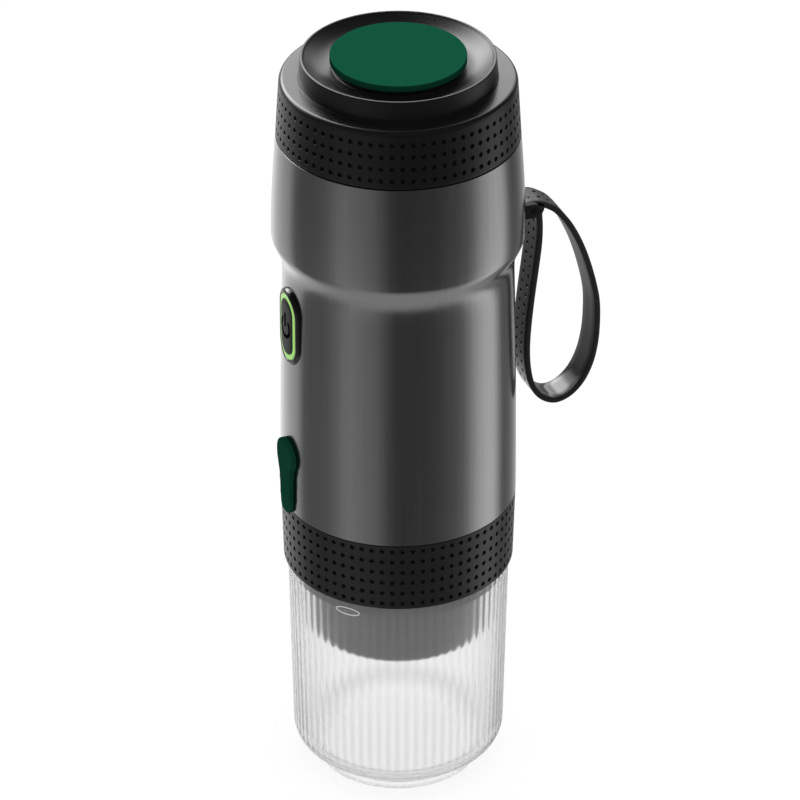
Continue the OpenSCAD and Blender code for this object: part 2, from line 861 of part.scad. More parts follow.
// Steel basket that takes the capsule
module capsule_cradle() {
    flange_z = z_barrel_top - cradle_flange_t;
    flange_r = barrel_bore_r - fit;
    sole_z = z_screen - cradle_wall;
    foot_in_r = cradle_low_r - cradle_wall;
    points = [[cradle_hole_r, sole_z], [foot_in_r, sole_z], [foot_in_r, z_cradle],
        [cradle_low_r + cradle_wall, z_cradle], [capsule_r + cradle_wall, flange_z], [flange_r, flange_z],
        [flange_r, z_barrel_top], [capsule_r, z_barrel_top], [cradle_low_r, z_screen],
        [cradle_hole_r, z_screen]];
    color([0.7, 0.71, 0.72]) turned(points);
}

// Perforated screen in the basket
module outlet_screen() {
    pitch = 4;
    color("silver") difference() {
        rod(cradle_low_r - fit, z_screen, z_screen + screen_t);
        for (k = [1, 2]) around([for (i = [1:6 * k]) 60 / k * i], pitch * k)
            rod(screen_hole_r, z_screen - cut, z_screen + screen_t + cut);
    }
}

// Spout through the barrel's floor
module spout() {
    low_z = z_barrel_low - spout_h;
    top_z = z_cradle + spout_flange_t;
    color([0.12, 0.12, 0.12]) difference() {
        union() {
            rod(spout_r, low_z, z_cradle + cut);
            rod(2 * spout_r, z_cradle, top_z);
        }
        rod(spout_r - spout_wall, low_z - cut, top_z + cut);
    }
}

// Black surround of the button, with a flange behind the shell
module button_bezel() {
    flange_h = bezel_h + 2 * bezel_flange;
    inner_r = inside_r(z_button - flange_h / 2, z_button + flange_h / 2);
    color([0.05, 0.05, 0.05]) difference() {
        union() {
            within(face_r) front(z_button, bezel_back_r, face_r + cut) oblong(bezel_w, bezel_h);
            within(inner_r) front(z_button, bezel_back_r, face_r)
                oblong(bezel_w + 2 * bezel_flange, flange_h);
        }
        front(z_button, bezel_back_r - cut, face_r + cut)
            oblong(light_w_out + 2 * fit, light_h_out + 2 * fit);
    }
}

// Lit ring around the button
module light_ring() {
    color([0.55, 0.8, 0.35]) within(face_r - fit) front(z_button, bezel_back_r, face_r) difference() {
        oblong(light_w_out, light_h_out);
        oblong(light_w_out - 2 * light_w, light_h_out - 2 * light_w);
    }
}

// Cap that the finger presses, and its stem into the switch
module button_cap() {
    color([0.2, 0.21, 0.22]) within(face_r + cap_proud) front(z_button, cap_back_r, face_r + cap_proud)
        oblong(light_w_out - cap_shrink, light_h_out - cap_shrink);
}

module switch_plunger() {
    color("white") front(z_button, board_front + button_travel + 2 * fit, cap_back_r) circle(r = stem_r);
}

// A curved layer of the cover, lying on the shell
module cover_layer(t) {
    intersection() {
        front(z_port, board_front, cover_back_r + cover_t + cut) children();
        ring(cover_back_r + t, cover_back_r, z_cover - cut, z_port + tail_h, $fn = fine);
    }
}

module cover_outline() {
    side = cover_tail_w / 2;
    circle(r = cover_head_r);
    translate([-side, tail_corner - tail_h]) square([2 * side, tail_h - tail_corner]);
    translate([tail_corner - side, -tail_h]) square([2 * (side - tail_corner), 2 * tail_corner]);
    for (s = [-1, 1]) translate([s * (side - tail_corner), tail_corner - tail_h]) circle(r = tail_corner);
}

// Rubber cover of the charging socket: round head, thinner tail and a bung
module port_cover() {
    color([0.06, 0.25, 0.18]) union() {
        cover_layer(cover_tail_t) cover_outline();
        cover_layer(cover_t) circle(r = cover_head_r);
        front(z_port, cover_back_r - bung_in, cover_back_r + cover_t / 2) oblong_flat(bung_w, bung_h);
    }
}

// Peg that holds the cover's tail to the body
module cover_peg() {
    head_r = spigot_r - spigot_wall - peg_clear;
    color([0.06, 0.25, 0.18]) union() {
        front(z_waist + peg_up, head_r - cut, cover_back_r - running) circle(r = peg_r);
        front(z_waist + peg_up, head_r - peg_head_t, head_r) circle(r = peg_head_r);
    }
}

// Lug through the back of the shell, with two ears for the pin
module strap_lug() {
    back_r = lug_plate_r - lug_plate_t;
    ear_reach = pin_out - lug_plate_r;
    color([0.07, 0.07, 0.07]) difference() {
        union() {
            intersection() {
                back(z_pin, back_r, upper_max_r + cut) square([lug_w, lug_h], center = true);
                rod(upper_max_r - fit, z_step, z_lid);
            }
            intersection() {
                back(z_pin, back_r - cut, upper_max_r)
                    square([lug_w + 2 * lug_grow, lug_h + lug_grow], center = true);
                ring(lug_plate_r, back_r, z_step, z_lid);
            }
            for (s = [-1, 1]) translate([s * (lug_w - ear_t) / 2, 0, 0]) {
                across(ear_t) circle(r = eye_r);
                across(ear_t) translate([-ear_reach, -eye_r]) square([ear_reach, 2 * eye_r]);
            }
        }
        across(lug_w + 2 * cut) circle(r = strap_pin_r + press);
    }
}

module strap_pin() {
    color("silver") across(lug_w) circle(r = strap_pin_r);
}

// The strap's edges run beside its middle line
function route_at(i) = strap_route[max(0, min(len(strap_route) - 1, i))];
function route_way(i) = route_at(i + 1) - route_at(i - 1);
function route_side(i) = [route_way(i)[1], -route_way(i)[0]] / norm(route_way(i));
function route_edge(off) = [for (i = [0:len(strap_route) - 1]) route_at(i) + off * route_side(i)];

// Rubber wrist strap
module strap() {
    color([0.1, 0.1, 0.1]) difference() {
        union() {
            across(strap_w) polygon(concat(route_edge(-strap_t / 2), backwards(route_edge(strap_t / 2))));
            across(strap_w) polygon(strap_stub);
            across(strap_w) circle(r = eye_r);
        }
        across(strap_w + 2 * cut) circle(r = strap_pin_r + running);
    }
}

// Lid with its raised ring and dish
module lid_cap() {
    rim_in_r = rim_r - rim_flat;
    dish_r = disc_r + dish_lip;
    floor_z = z_dish - disc_recess;
    web_z = floor_z - lid_web;
    outer = concat([[lid_bore_r, z_lid_foot], [lid_r(z_lid_foot) - band_t, z_lid_foot],
        [lid_r(z_lid_band) - band_t, z_lid_band]],
        arc(lid_top_r - lid_edge_r, z_lid_band, lid_edge_r, 0, 90),
        [[ring_base_r, z_shoulder], [rim_r, z_rim], [rim_in_r, z_rim]]);
    dish = [for (t = [0.2:0.2:1]) [rim_in_r + (dish_r - rim_in_r) * t, z_rim - dish_depth * sin(90 * t)]];
    inner = [[pedestal_r, z_dish], [pedestal_r, z_disc_seat], [disc_boss_r + fit, z_disc_seat],
        [disc_boss_r + fit, floor_z], [0, floor_z], [0, web_z],
        [lid_cavity_r, web_z], [lid_cavity_r, z_ceiling], [lid_bore_r, z_ceiling]];
    color([0.1, 0.1, 0.1]) difference() {
        turned(concat(outer, dish, inner));
        around(lid_screw_angles, lid_screw_place_r)
            rod(screw_r + press, z_ceiling - cut, z_ceiling + screw_bite + fit);
    }
}

// Rubber band around the lid
module lid_grip_band() {
    foot_r = lid_r(z_lid_foot);
    top_r = lid_r(z_lid_band);
    top_z = z_lid_band - running;
    back = band_t - running;
    color([0.12, 0.12, 0.12])
        turned([[foot_r - back, z_lid_foot], [foot_r, z_lid_foot], [top_r, top_z],
            [top_r - back, top_z]]);
}

// Coloured disc on the pedestal in the dish
module lid_disc() {
    low_z = z_dish - disc_recess + fit;
    edge_z = z_disc - disc_edge;
    color([0.08, 0.34, 0.24])
        turned([[0, low_z], [disc_boss_r, low_z], [disc_boss_r, z_disc_seat], [disc_r, z_disc_seat],
            [disc_r, edge_z], [disc_r - disc_edge, z_disc], [0, z_disc]]);
}

// Liner that closes the lid below, with a plug into the tank
module lid_liner() {
    plug_r = mouth_r - slide_gap;
    color([0.8, 0.8, 0.78]) difference() {
        union() {
            rod(lid_bore_r - fit, z_liner, z_ceiling);
            ring(plug_r, plug_r - plug_wall, z_liner - plug_h, z_liner + cut);
        }
        around(lid_screw_angles, lid_screw_place_r) {
            rod(screw_r + fit, z_liner - cut, z_ceiling + cut);
            rod(screw_head_r + fit, z_liner - cut, z_liner + lid_head_h + fit);
        }
    }
}

// Rubber ring between the tank's flange and the lid
module lid_seal() {
    color([0.85, 0.85, 0.83]) ring(neck_r - fit, mouth_out_r + fit, z_seal, z_liner);
}

// Sunk screws that hold the liner
module lid_screws() {
    low_z = z_liner + fit;
    color("silver") around(lid_screw_angles, lid_screw_place_r) {
        rod(screw_head_r, low_z, z_liner + lid_head_h);
        rod(screw_r, low_z, z_ceiling + screw_bite);
    }
}

cup();
cup_seal();
lower_collar();
lower_grip_band();
collar_screws();
body_shell();
neck_ring();
water_tank();
tank_gasket();
heater_plate();
temperature_sensor();
chassis_lower();
chassis_upper();
chassis_pillars();
battery_cells();
control_board();
tact_switch();
usb_port();
motor_can();
motor_shaft();
drive_gear();
driven_gear();
idler_pin();
pump_body();
pump_cover();
pump_screws();
feed_tube();
outlet_tube();
shower_plate();
piercing_needle();
brew_seal();
brew_barrel();
capsule_cradle();
outlet_screen();
spout();
button_bezel();
light_ring();
button_cap();
switch_plunger();
port_cover();
cover_peg();
strap_lug();
strap_pin();
strap();
lid_cap();
lid_grip_band();
lid_disc();
lid_liner();
lid_seal();
lid_screws();
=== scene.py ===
# %% [markdown]
# # A travel coffee maker, piece by piece
# The maker stands on its clear cup. Above it come a dimpled grip band, a dark metal body, a dimpled lid
# with a green disc, and a wrist strap at the back. The construction is already packed as a frame of
# exact solids, so this lesson loads that frame and dresses it: it rebuilds the pieces whose surface
# matters and gives every piece a finish.

# %% Load the frame
import math

import bmesh
import bpy
from mathutils import Matrix, Vector
from mathutils.geometry import interpolate_bezier


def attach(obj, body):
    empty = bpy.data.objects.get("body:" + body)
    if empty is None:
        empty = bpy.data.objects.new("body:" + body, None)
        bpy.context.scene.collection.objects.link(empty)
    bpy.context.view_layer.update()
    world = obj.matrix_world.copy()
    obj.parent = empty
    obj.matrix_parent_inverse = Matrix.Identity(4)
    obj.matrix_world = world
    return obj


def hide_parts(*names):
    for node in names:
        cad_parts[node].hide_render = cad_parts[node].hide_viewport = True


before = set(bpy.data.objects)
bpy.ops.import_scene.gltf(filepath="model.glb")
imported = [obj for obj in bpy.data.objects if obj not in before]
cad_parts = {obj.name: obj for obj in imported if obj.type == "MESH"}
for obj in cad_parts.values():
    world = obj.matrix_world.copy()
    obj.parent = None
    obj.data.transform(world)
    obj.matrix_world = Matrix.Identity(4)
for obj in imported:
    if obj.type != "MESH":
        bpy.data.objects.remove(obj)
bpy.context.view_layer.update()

# %% [markdown]
# ## The camera
# The photograph looks down on the maker by about 31 degrees, from its side, with the button on the left
# and the strap on the right. Upright edges hardly run together, so the lens is long and stands far
# away. Setting the camera first means that every later choice can be judged from the right place.

# %% Set up the camera
MM = 0.001
CAMERA_TURN = math.radians(68)
CAMERA_LIFT = math.radians(31.25)
CAMERA_AWAY = 1700 * MM
AIM = Vector((0, 0, 121.1 * MM))
LENS, SENSOR, SHIFT_RIGHT = 262.7, 36, 1.7 / 800

toward_camera = Vector((math.sin(CAMERA_TURN) * math.cos(CAMERA_LIFT),
                        -math.cos(CAMERA_TURN) * math.cos(CAMERA_LIFT), math.sin(CAMERA_LIFT)))
camera = bpy.data.objects.new("camera", bpy.data.cameras.new("camera"))
camera.location = AIM + toward_camera * CAMERA_AWAY
camera.rotation_euler = toward_camera.to_track_quat("Z", "Y").to_euler()
camera.data.lens = LENS
camera.data.sensor_width = SENSOR
camera.data.shift_x = SHIFT_RIGHT
camera.data.clip_end = 20
bpy.context.scene.collection.objects.link(camera)
bpy.context.scene.camera = camera
bpy.context.scene.view_settings.view_transform = "Standard"
print("camera at", [round(c, 3) for c in camera.location])

# %% [markdown]
# ## Sums in a node tree
# A finish is a small sum: a base value plus some grain, less some wear. Linking Math nodes by hand
# hides that sum, so this class wraps a socket and lets Python's own signs add the nodes. Every other
# node comes from one method.

# %% A socket that can be added and multiplied
class Wire:
    """A socket in a node tree that takes part in ordinary sums."""

    def __init__(self, tree, socket=None):
        self.tree = tree
        self.socket = socket

    def plug(self, target):
        self.tree.links.new(self.socket, target)

    def node(self, kind, settings=None, sockets=None, out=0):
        made = self.tree.nodes.new(kind)
        for name, value in (settings or {}).items():
            if name == "stops":
                ramp = made.color_ramp
                ramp.interpolation = "LINEAR"
                while len(ramp.elements) < len(value):
                    ramp.elements.new(0.5)
                for element, (place, level) in zip(ramp.elements, value):
                    element.position = place
                    element.color = (level, level, level, 1)
            else:
                setattr(made, name, value)
        for name, value in (sockets or {}).items():
            if isinstance(value, Wire):
                value.plug(made.inputs[name])
            else:
                made.inputs[name].default_value = value
        return Wire(self.tree, made.outputs[out])

    def math(self, operation, first, second):
        return self.node("ShaderNodeMath", {"operation": operation}, {0: first, 1: second})

    def __add__(self, other):
        return self.math("ADD", self, other)

    def __radd__(self, other):
        return self.math("ADD", other, self)

    def __sub__(self, other):
        return self.math("SUBTRACT", self, other)

    def __rsub__(self, other):
        return self.math("SUBTRACT", other, self)

    def __mul__(self, other):
        return self.math("MULTIPLY", self, other)

    def __rmul__(self, other):
        return self.math("MULTIPLY", other, self)

    def __truediv__(self, other):
        return self.math("DIVIDE", self, other)

    def __rtruediv__(self, other):
        return self.math("DIVIDE", other, self)

    def between(self, low, high):
        """0 below low, 1 above high, and a soft step from one to the other."""
        return self.node("ShaderNodeMapRange", {"interpolation_type": "SMOOTHSTEP"},
                         {"Value": self, "From Min": low, "From Max": high})


# %% [markdown]
# ## The studio
# A dark satin tube shows its surroundings more than its own colour. The light and dark upright streaks
# on the body are soft boxes and dark cards that stand around it, seen in the metal. Here the sky holds
# them: by compass direction for mirror-like rays, plain and even for the light that colours live in,
# and white behind the object. Two panels hang higher up: a large one behind the maker for the lid, and
# a small one for the bend of the strap.

# %% Compass directions of the sky, counted from the camera
world = bpy.data.worlds.new("studio")
bpy.context.scene.world = world
world.use_nodes = True
sky = Wire(world.node_tree)
sky_way = sky.node("ShaderNodeTexCoord", out="Generated")


def along(direction):
    """How far a ray points along a direction."""
    return sky.node("ShaderNodeVectorMath", {"operation": "DOT_PRODUCT"}, {0: sky_way, 1: direction},
                    out="Value")


to_camera = along((math.sin(CAMERA_TURN), -math.cos(CAMERA_TURN), 0))
to_right = along((math.cos(CAMERA_TURN), math.sin(CAMERA_TURN), 0))
up = along((0, 0, 1))
compass = sky.math("ARCTAN2", to_right, to_camera) / (2 * math.pi) + 0.5
print("streaks are counted from", round(math.degrees(CAMERA_TURN)), "degrees")

# %% Soft boxes and dark cards around the object
STREAKS = [(-180, 0.95), (-160, 1.35), (-148, 1.2), (-128, 1.0), (-117, 0.92), (-107, 0.3),
           (-100, 0.26), (-84, 0.27), (-74, 0.31), (-64, 0.41), (-55, 0.6), (-47, 0.63),
           (-38, 0.54), (-22, 0.43), (-14, 0.27), (-6, 0.14), (2, 0.11), (34, 0.14),
           (42, 0.18), (50, 0.22), (59, 0.28), (68, 0.4), (78, 0.9), (89, 1.4),
           (100, 1.6), (109, 1.4), (118, 0.4), (126, 0.2), (140, 0.3), (154, 0.5),
           (180, 0.95)]
stops = [((turn + 180) / 360, level) for turn, level in STREAKS]
streaks = sky.node("ShaderNodeValToRGB", {"stops": stops}, {"Fac": compass})
GROUND_LEVEL, HIGH_LOSS = 0.72, 0.24
sideways = up.between(-0.96, -0.6)
higher = up.between(-0.52, -0.36)
around = streaks * sideways * (1 - HIGH_LOSS * higher) + GROUND_LEVEL * (1 - sideways)
print("streaks:", len(STREAKS))

# %% Panels above the object
CEILING_LEVEL, REAR_LEVEL, STRAP_LEVEL = 0.08, 5.2, 10
REAR_TURN = CAMERA_TURN + math.radians(-158)
STRAP_WAY = (-0.795, -0.15, 0.588)
to_rear = along((math.sin(REAR_TURN), -math.cos(REAR_TURN), 0))
rear_panel = to_rear.between(0.35, 0.85) * up.between(0.12, 0.35) * (1 - up.between(0.75, 0.92))
strap_panel = along(STRAP_WAY).between(0.92, 0.98)
overhead = CEILING_LEVEL + REAR_LEVEL * rear_panel + STRAP_LEVEL * strap_panel
above = up.between(-0.05, 0.15)
mirrored = around * (1 - above) + overhead * above
print("panel levels:", REAR_LEVEL, STRAP_LEVEL)

# %% Join the three kinds of light
SKY_LEVEL = 0.95
glossy = sky.node("ShaderNodeLightPath", out="Is Glossy Ray")
seen = sky.math("MAXIMUM", sky.node("ShaderNodeLightPath", out="Is Camera Ray"),
                sky.node("ShaderNodeLightPath", out="Is Transmission Ray"))
level = SKY_LEVEL * (1 - glossy) * (1 - seen) + mirrored * glossy * (1 - seen) + seen
level.plug(world.node_tree.nodes["Background"].inputs["Strength"])
world.node_tree.nodes["Background"].inputs["Color"].default_value = (1, 1, 1, 1)
print("even light at", SKY_LEVEL)

# %% [markdown]
# ## The floor
# The photograph has a white ground. A floor that is partly lit and partly glows comes out white and
# still keeps a faint shadow where the foot stands. Mirror-like rays pass through it to the sky's soft
# boxes.

# %% Lay the floor
def noise(wire, place, scale, detail=2.0):
    """Cloudy noise, with scale as the number of clouds to a metre."""
    return wire.node("ShaderNodeTexNoise", None, {"Vector": place, "Scale": scale, "Detail": detail},
                     out="Fac")


def paint_floor():
    """White that is part lit and part glowing where it is seen."""
    finish = bpy.data.materials.new("white_floor")
    finish.use_nodes = True
    tree = finish.node_tree
    tree.nodes.clear()
    wire = Wire(tree)
    seen_floor = wire.math("MAXIMUM", wire.node("ShaderNodeLightPath", out="Is Camera Ray"),
                           wire.node("ShaderNodeLightPath", out="Is Transmission Ray"))
    speckle = noise(wire, wire.node("ShaderNodeTexCoord", out="Object"), 40.0)
    tone = 0.8 + 0.02 * speckle - 0.6 * seen_floor
    lit = wire.node("ShaderNodeBsdfDiffuse", None, {"Color": tone})
    glow = wire.node("ShaderNodeEmission", None,
                     {"Color": (1, 1, 1, 1), "Strength": 0.84 * seen_floor})
    both = wire.node("ShaderNodeAddShader", None, {0: lit, 1: glow})
    both.plug(tree.nodes.new("ShaderNodeOutputMaterial").inputs["Surface"])
    return finish


floor_mesh = bmesh.new()
bmesh.ops.create_grid(floor_mesh, x_segments=4, y_segments=4, size=2.5)
floor_data = bpy.data.meshes.new("floor")
floor_mesh.to_mesh(floor_data)
floor_mesh.free()
floor_data.materials.append(paint_floor())
floor = bpy.data.objects.new("floor", floor_data)
floor.visible_glossy = False
bpy.context.scene.collection.objects.link(floor)
print("floor laid at height 0")

# %% [markdown]
# ## Moulded finishes
# Rubber and plastic copy the tool they are moulded in, and such tools are sparked or blasted to a fine
# grain. So a moulded finish is a colour that drifts a little, a roughness that drifts with it, and a
# shallow grain as a bump. The numbers that stay the same all over are set straight on the shader. Two
# pieces are polished unevenly, the lid below its ring and the strap in its bend, so a finish can also
# grow duller with height.

# %% Finishes for moulded pieces
def new_finish(name, **fixed):
    """A material whose fixed sockets are set, with a wire for sums and the shader's inputs."""
    finish = bpy.data.materials.new(name)
    finish.use_nodes = True
    shader = finish.node_tree.nodes["Principled BSDF"]
    for socket, value in fixed.items():
        shader.inputs[socket.replace("_", " ")].default_value = value
    return finish, Wire(finish.node_tree), shader.inputs


def two_tones(wire, mask, first, second):
    """The first colour where the mask is 0, the second where it is 1."""
    return wire.node("ShaderNodeMix", {"data_type": "RGBA"},
                     {0: mask, 6: (*first, 1), 7: (*second, 1)}, out=2)


def add_bump(wire, shader, height, strength, depth):
    """Tilts the surface as if height stood out of it by depth mm."""
    wire.node("ShaderNodeBump", None, {"Height": height, "Strength": strength, "Distance": depth * MM},
              out="Normal").plug(shader["Normal"])


def moulded(name, colour, roughness, grain, depth, duller=None, **fixed):
    """A moulded surface: grain is the width of its grain in mm, depth the height of it.

    duller gives two heights in mm and how much rougher the surface is from the second one up.
    """
    finish, wire, shader = new_finish(name, **fixed)
    place = wire.node("ShaderNodeTexCoord", out="Object")
    fine = noise(wire, place, 1 / (grain * MM))
    drift = noise(wire, place, 60.0, 3.0)
    darker, lighter = [0.86 * c for c in colour], [1.14 * c for c in colour]
    two_tones(wire, drift, darker, lighter).plug(shader["Base Color"])
    rough = roughness - 0.06 + 0.08 * drift + 0.06 * fine
    if duller:
        low, high, more = duller
        height = wire.node("ShaderNodeSeparateXYZ", None, {"Vector": place}, out="Z")
        rough = rough + more * height.between(low * MM, high * MM)
    rough.plug(shader["Roughness"])
    add_bump(wire, shader, fine, 0.5, depth)
    return finish


black_plastic = moulded("black_plastic", (0.0055, 0.0055, 0.006), 0.25, 0.2, 0.003, (229, 230, 0.1),
                        Specular_IOR_Level=0.25)
grip_rubber = moulded("grip_rubber", (0.0085, 0.0085, 0.0088), 0.34, 0.22, 0.01,
                      Specular_IOR_Level=0.26)
lid_rubber = moulded("lid_rubber", (0.005, 0.005, 0.0052), 0.34, 0.22, 0.01, Specular_IOR_Level=0.24)
strap_rubber = moulded("strap_rubber", (0.013, 0.013, 0.0135), 0.2, 0.2, 0.006, (116, 132, 0.25),
                       Specular_IOR_Level=0.21)
lug_black = moulded("lug_black", (0.008, 0.008, 0.008), 0.6, 0.25, 0.02, Specular_IOR_Level=0.15)
green_rubber = moulded("green_rubber", (0.0055, 0.044, 0.026), 0.5, 0.25, 0.015, Specular_IOR_Level=0.0)
button_face = moulded("button_face", (0.03, 0.031, 0.0315), 0.4, 0.18, 0.008, Specular_IOR_Level=0.05)
sign_ink = moulded("sign_ink", (0.0014, 0.0014, 0.0014), 0.5, 0.18, 0.004, Specular_IOR_Level=0.0)
gloss_black = moulded("gloss_black", (0.004, 0.004, 0.004), 0.2, 0.5, 0.001, Specular_IOR_Level=0.35)
barrel_grey = moulded("barrel_grey", (0.165, 0.165, 0.168), 0.45, 0.3, 0.01, Sheen_Weight=0.5,
                      Sheen_Roughness=0.4)
dark_seal = moulded("dark_seal", (0.03, 0.03, 0.03), 0.55, 0.3, 0.01)
red_seal = moulded("red_seal", (0.38, 0.025, 0.018), 0.5, 0.3, 0.01)
pale_seal = moulded("pale_seal", (0.4, 0.4, 0.385), 0.5, 0.3, 0.01)
chassis_plastic = moulded("chassis_plastic", (0.035, 0.035, 0.037), 0.5, 0.3, 0.02)
pump_plastic = moulded("pump_plastic", (0.35, 0.35, 0.33), 0.45, 0.3, 0.015)
tube_silicone = moulded("tube_silicone", (0.66, 0.64, 0.56), 0.4, 0.4, 0.01)
white_plastic = moulded("white_plastic", (0.78, 0.78, 0.77), 0.4, 0.3, 0.01)
liner_plastic = moulded("liner_plastic", (0.6, 0.6, 0.58), 0.42, 0.3, 0.01)
cell_wrap = moulded("cell_wrap", (0.02, 0.09, 0.32), 0.3, 1.5, 0.01)
board = moulded("board", (0.008, 0.075, 0.026), 0.35, 0.4, 0.02)
print("moulded finishes ready, from", black_plastic.name, "to", board.name)

# %% [markdown]
# ## Metal finishes
# Drawn and brushed metal carries fine lines along the way it was worked. Noise that is squeezed across
# the lines and stretched along them gives such lines. They change the roughness and tilt the surface by
# a hair.

# %% Finishes for metal pieces
def brushed(name, colour, roughness, line, stretch, depth):
    """A metal with fine lines: line is their width in mm, stretch squeezes the noise along an axis."""
    finish, wire, shader = new_finish(name, Metallic=1.0)
    place = wire.node("ShaderNodeTexCoord", out="Object")
    drawn = wire.node("ShaderNodeMapping", None, {"Vector": place, "Scale": stretch})
    lines = noise(wire, drawn, 1 / (line * MM), 3.0)
    drift = noise(wire, place, 35.0)
    darker, lighter = [0.9 * c for c in colour], [1.1 * c for c in colour]
    two_tones(wire, lines, darker, lighter).plug(shader["Base Color"])
    (roughness - 0.05 + 0.06 * lines + 0.04 * drift).plug(shader["Roughness"])
    add_bump(wire, shader, lines, 0.35, depth)
    return finish


gunmetal = brushed("gunmetal", (0.225, 0.225, 0.228), 0.19, 1.1, (1, 1, 0.004), 0.004)
steel = brushed("steel", (0.62, 0.63, 0.64), 0.28, 0.3, (0.02, 0.02, 1), 0.003)
heater_metal = brushed("heater_metal", (0.6, 0.58, 0.55), 0.45, 0.8, (1, 1, 1), 0.02)
black_steel = brushed("black_steel", (0.02, 0.02, 0.02), 0.35, 0.3, (0.02, 1, 1), 0.003)
brass = brushed("brass", (0.62, 0.43, 0.16), 0.3, 0.3, (0.02, 0.02, 1), 0.003)
print("metal finishes ready, from", gunmetal.name, "to", brass.name)

# %% [markdown]
# ## Green paint
# The disc on the lid is painted a flat green. Its upright edge is given a darker green as painted shade
# on the side wall, so the edge comes out darker than the face. How far a point is from the axis tells the
# two apart.

# %% Paint for the disc
def off_axis(wire, place):
    """How far a point is from the maker's upright axis, in metres."""
    flat = wire.node("ShaderNodeVectorMath", {"operation": "MULTIPLY"}, {0: place, 1: (1, 1, 0)})
    return wire.node("ShaderNodeVectorMath", {"operation": "LENGTH"}, {0: flat}, out="Value")


def painted_green():
    """Green paint, with painted shade that makes the disc's upright edge darker."""
    finish, wire, shader = new_finish("green_metal", Specular_IOR_Level=0.0)
    place = wire.node("ShaderNodeTexCoord", out="Object")
    fine = noise(wire, place, 6000.0)
    # The darker edge colour is painted shade on the disc's side wall, mixed with a little random grain.
    painted_edge_shade_and_grain = off_axis(wire, place).between(19.25 * MM, 19.39 * MM) + 0.12 * fine
    two_tones(wire, painted_edge_shade_and_grain, (0.008, 0.1, 0.052), (0.004, 0.038, 0.021)).plug(shader["Base Color"])
    (0.5 + 0.1 * fine).plug(shader["Roughness"])
    add_bump(wire, shader, fine, 0.4, 0.003)
    return finish


green_metal = painted_green()
print("paint ready:", green_metal.name)

# %% [markdown]
# ## The clear plastic and the lit ring
# The cup is clear and slightly milky, so rays go through it and spread a little. The grey tint along its
# ribs, stronger low down, and round its thick base is painted shade, where bent light darkens the plastic,
# and a faint sheen stands for the haze on its skin.
# The ring round the button is a light guide that glows lime green.

# %% Finishes for the cup and the light
RIBS = 72


def clear_plastic():
    """Clear, with painted shade in grey along the ribs, more of it low down, and round the thick base."""
    finish, wire, shader = new_finish("clear_cup", IOR=1.26, Transmission_Weight=1.0, Sheen_Weight=0.4,
                                      Sheen_Roughness=0.3)
    place = wire.node("ShaderNodeTexCoord", out="Object")
    haze = noise(wire, place, 90.0, 3.0)
    x, y, height = (wire.node("ShaderNodeSeparateXYZ", None, {"Vector": place}, out=axis)
                    for axis in "XYZ")
    out = off_axis(wire, place)
    turn = wire.math("ARCTAN2", y, x)
    ridge = 0.5 - 0.5 * wire.node("ShaderNodeMath", {"operation": "COSINE"}, {0: turn * RIBS})
    # The grey along the rib grooves and round the thick base is painted shade; the haze adds a random tone.
    rib_painted_shade = ridge * out.between(29.8 * MM, 30.4 * MM) * height.between(7 * MM, 14 * MM)
    base_painted_shade = out.between(24.6 * MM, 25.4 * MM) * (1 - height.between(8 * MM, 9.5 * MM))
    low = 1 - height.between(22 * MM, 46 * MM)
    painted_shade_and_haze = 0.36 * base_painted_shade + (0.14 + 0.16 * low) * rib_painted_shade + 0.03 * haze
    two_tones(wire, painted_shade_and_haze, (1, 1, 1), (0.2, 0.205, 0.205)).plug(shader["Base Color"])
    (0.21 + 0.06 * haze).plug(shader["Roughness"])
    return finish


def lit_ring():
    """Lime green that glows a little unevenly."""
    finish, wire, shader = new_finish("lime_light", Emission_Strength=0.55)
    place = wire.node("ShaderNodeTexCoord", out="Object")
    cloud = noise(wire, place, 400.0)
    two_tones(wire, cloud, (0.13, 0.29, 0.055), (0.17, 0.35, 0.075)).plug(shader["Base Color"])
    two_tones(wire, cloud, (0.30, 0.62, 0.12), (0.36, 0.70, 0.16)).plug(shader["Emission Color"])
    (0.25 + 0.1 * cloud).plug(shader["Roughness"])
    return finish


clear_cup = clear_plastic()
lime_light = lit_ring()
print("clear cup and lit ring ready")

# %% [markdown]
# ## From a section to a round piece
# Most of the maker is turned: a half section swept once round the axis. All lengths below are in
# millimetres, and the finished mesh is scaled to metres in one go. The same helper merges doubles,
# turns faces outwards, keeps real edges crisp and lets the piece ride on its body.

# %% Helpers for turned pieces
CRISP, SAME_POINT = 35, 0.004


def finish_piece(name, bm, body, slot, finish, *replaced, crisp=CRISP):
    """Turns a bmesh in mm into a piece that rides on a body; edges sharper than crisp degrees stay hard."""
    bmesh.ops.remove_doubles(bm, verts=bm.verts, dist=SAME_POINT)
    bmesh.ops.recalc_face_normals(bm, faces=bm.faces)
    if bm.calc_volume(signed=True) < 0:
        bmesh.ops.reverse_faces(bm, faces=bm.faces)
    bmesh.ops.scale(bm, vec=(MM, MM, MM), verts=bm.verts)
    mesh = bpy.data.meshes.new(name)
    bm.to_mesh(mesh)
    bm.free()
    mesh.shade_smooth()
    mesh.set_sharp_from_angle(angle=math.radians(crisp))
    mesh.materials.append(finish)
    piece = bpy.data.objects.new(name, mesh)
    bpy.context.scene.collection.objects.link(piece)
    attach(piece, body)
    if replaced:
        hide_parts(*replaced)
    print(name, "has", len(mesh.polygons), "faces")
    return piece


def arc(mid_r, mid_z, radius, start, end, steps):
    """Points of a rounded edge in the half section, by angle in degrees."""
    turns = [math.radians(start + (end - start) * i / steps) for i in range(steps + 1)]
    return [(mid_r + radius * math.cos(t), mid_z + radius * math.sin(t)) for t in turns]


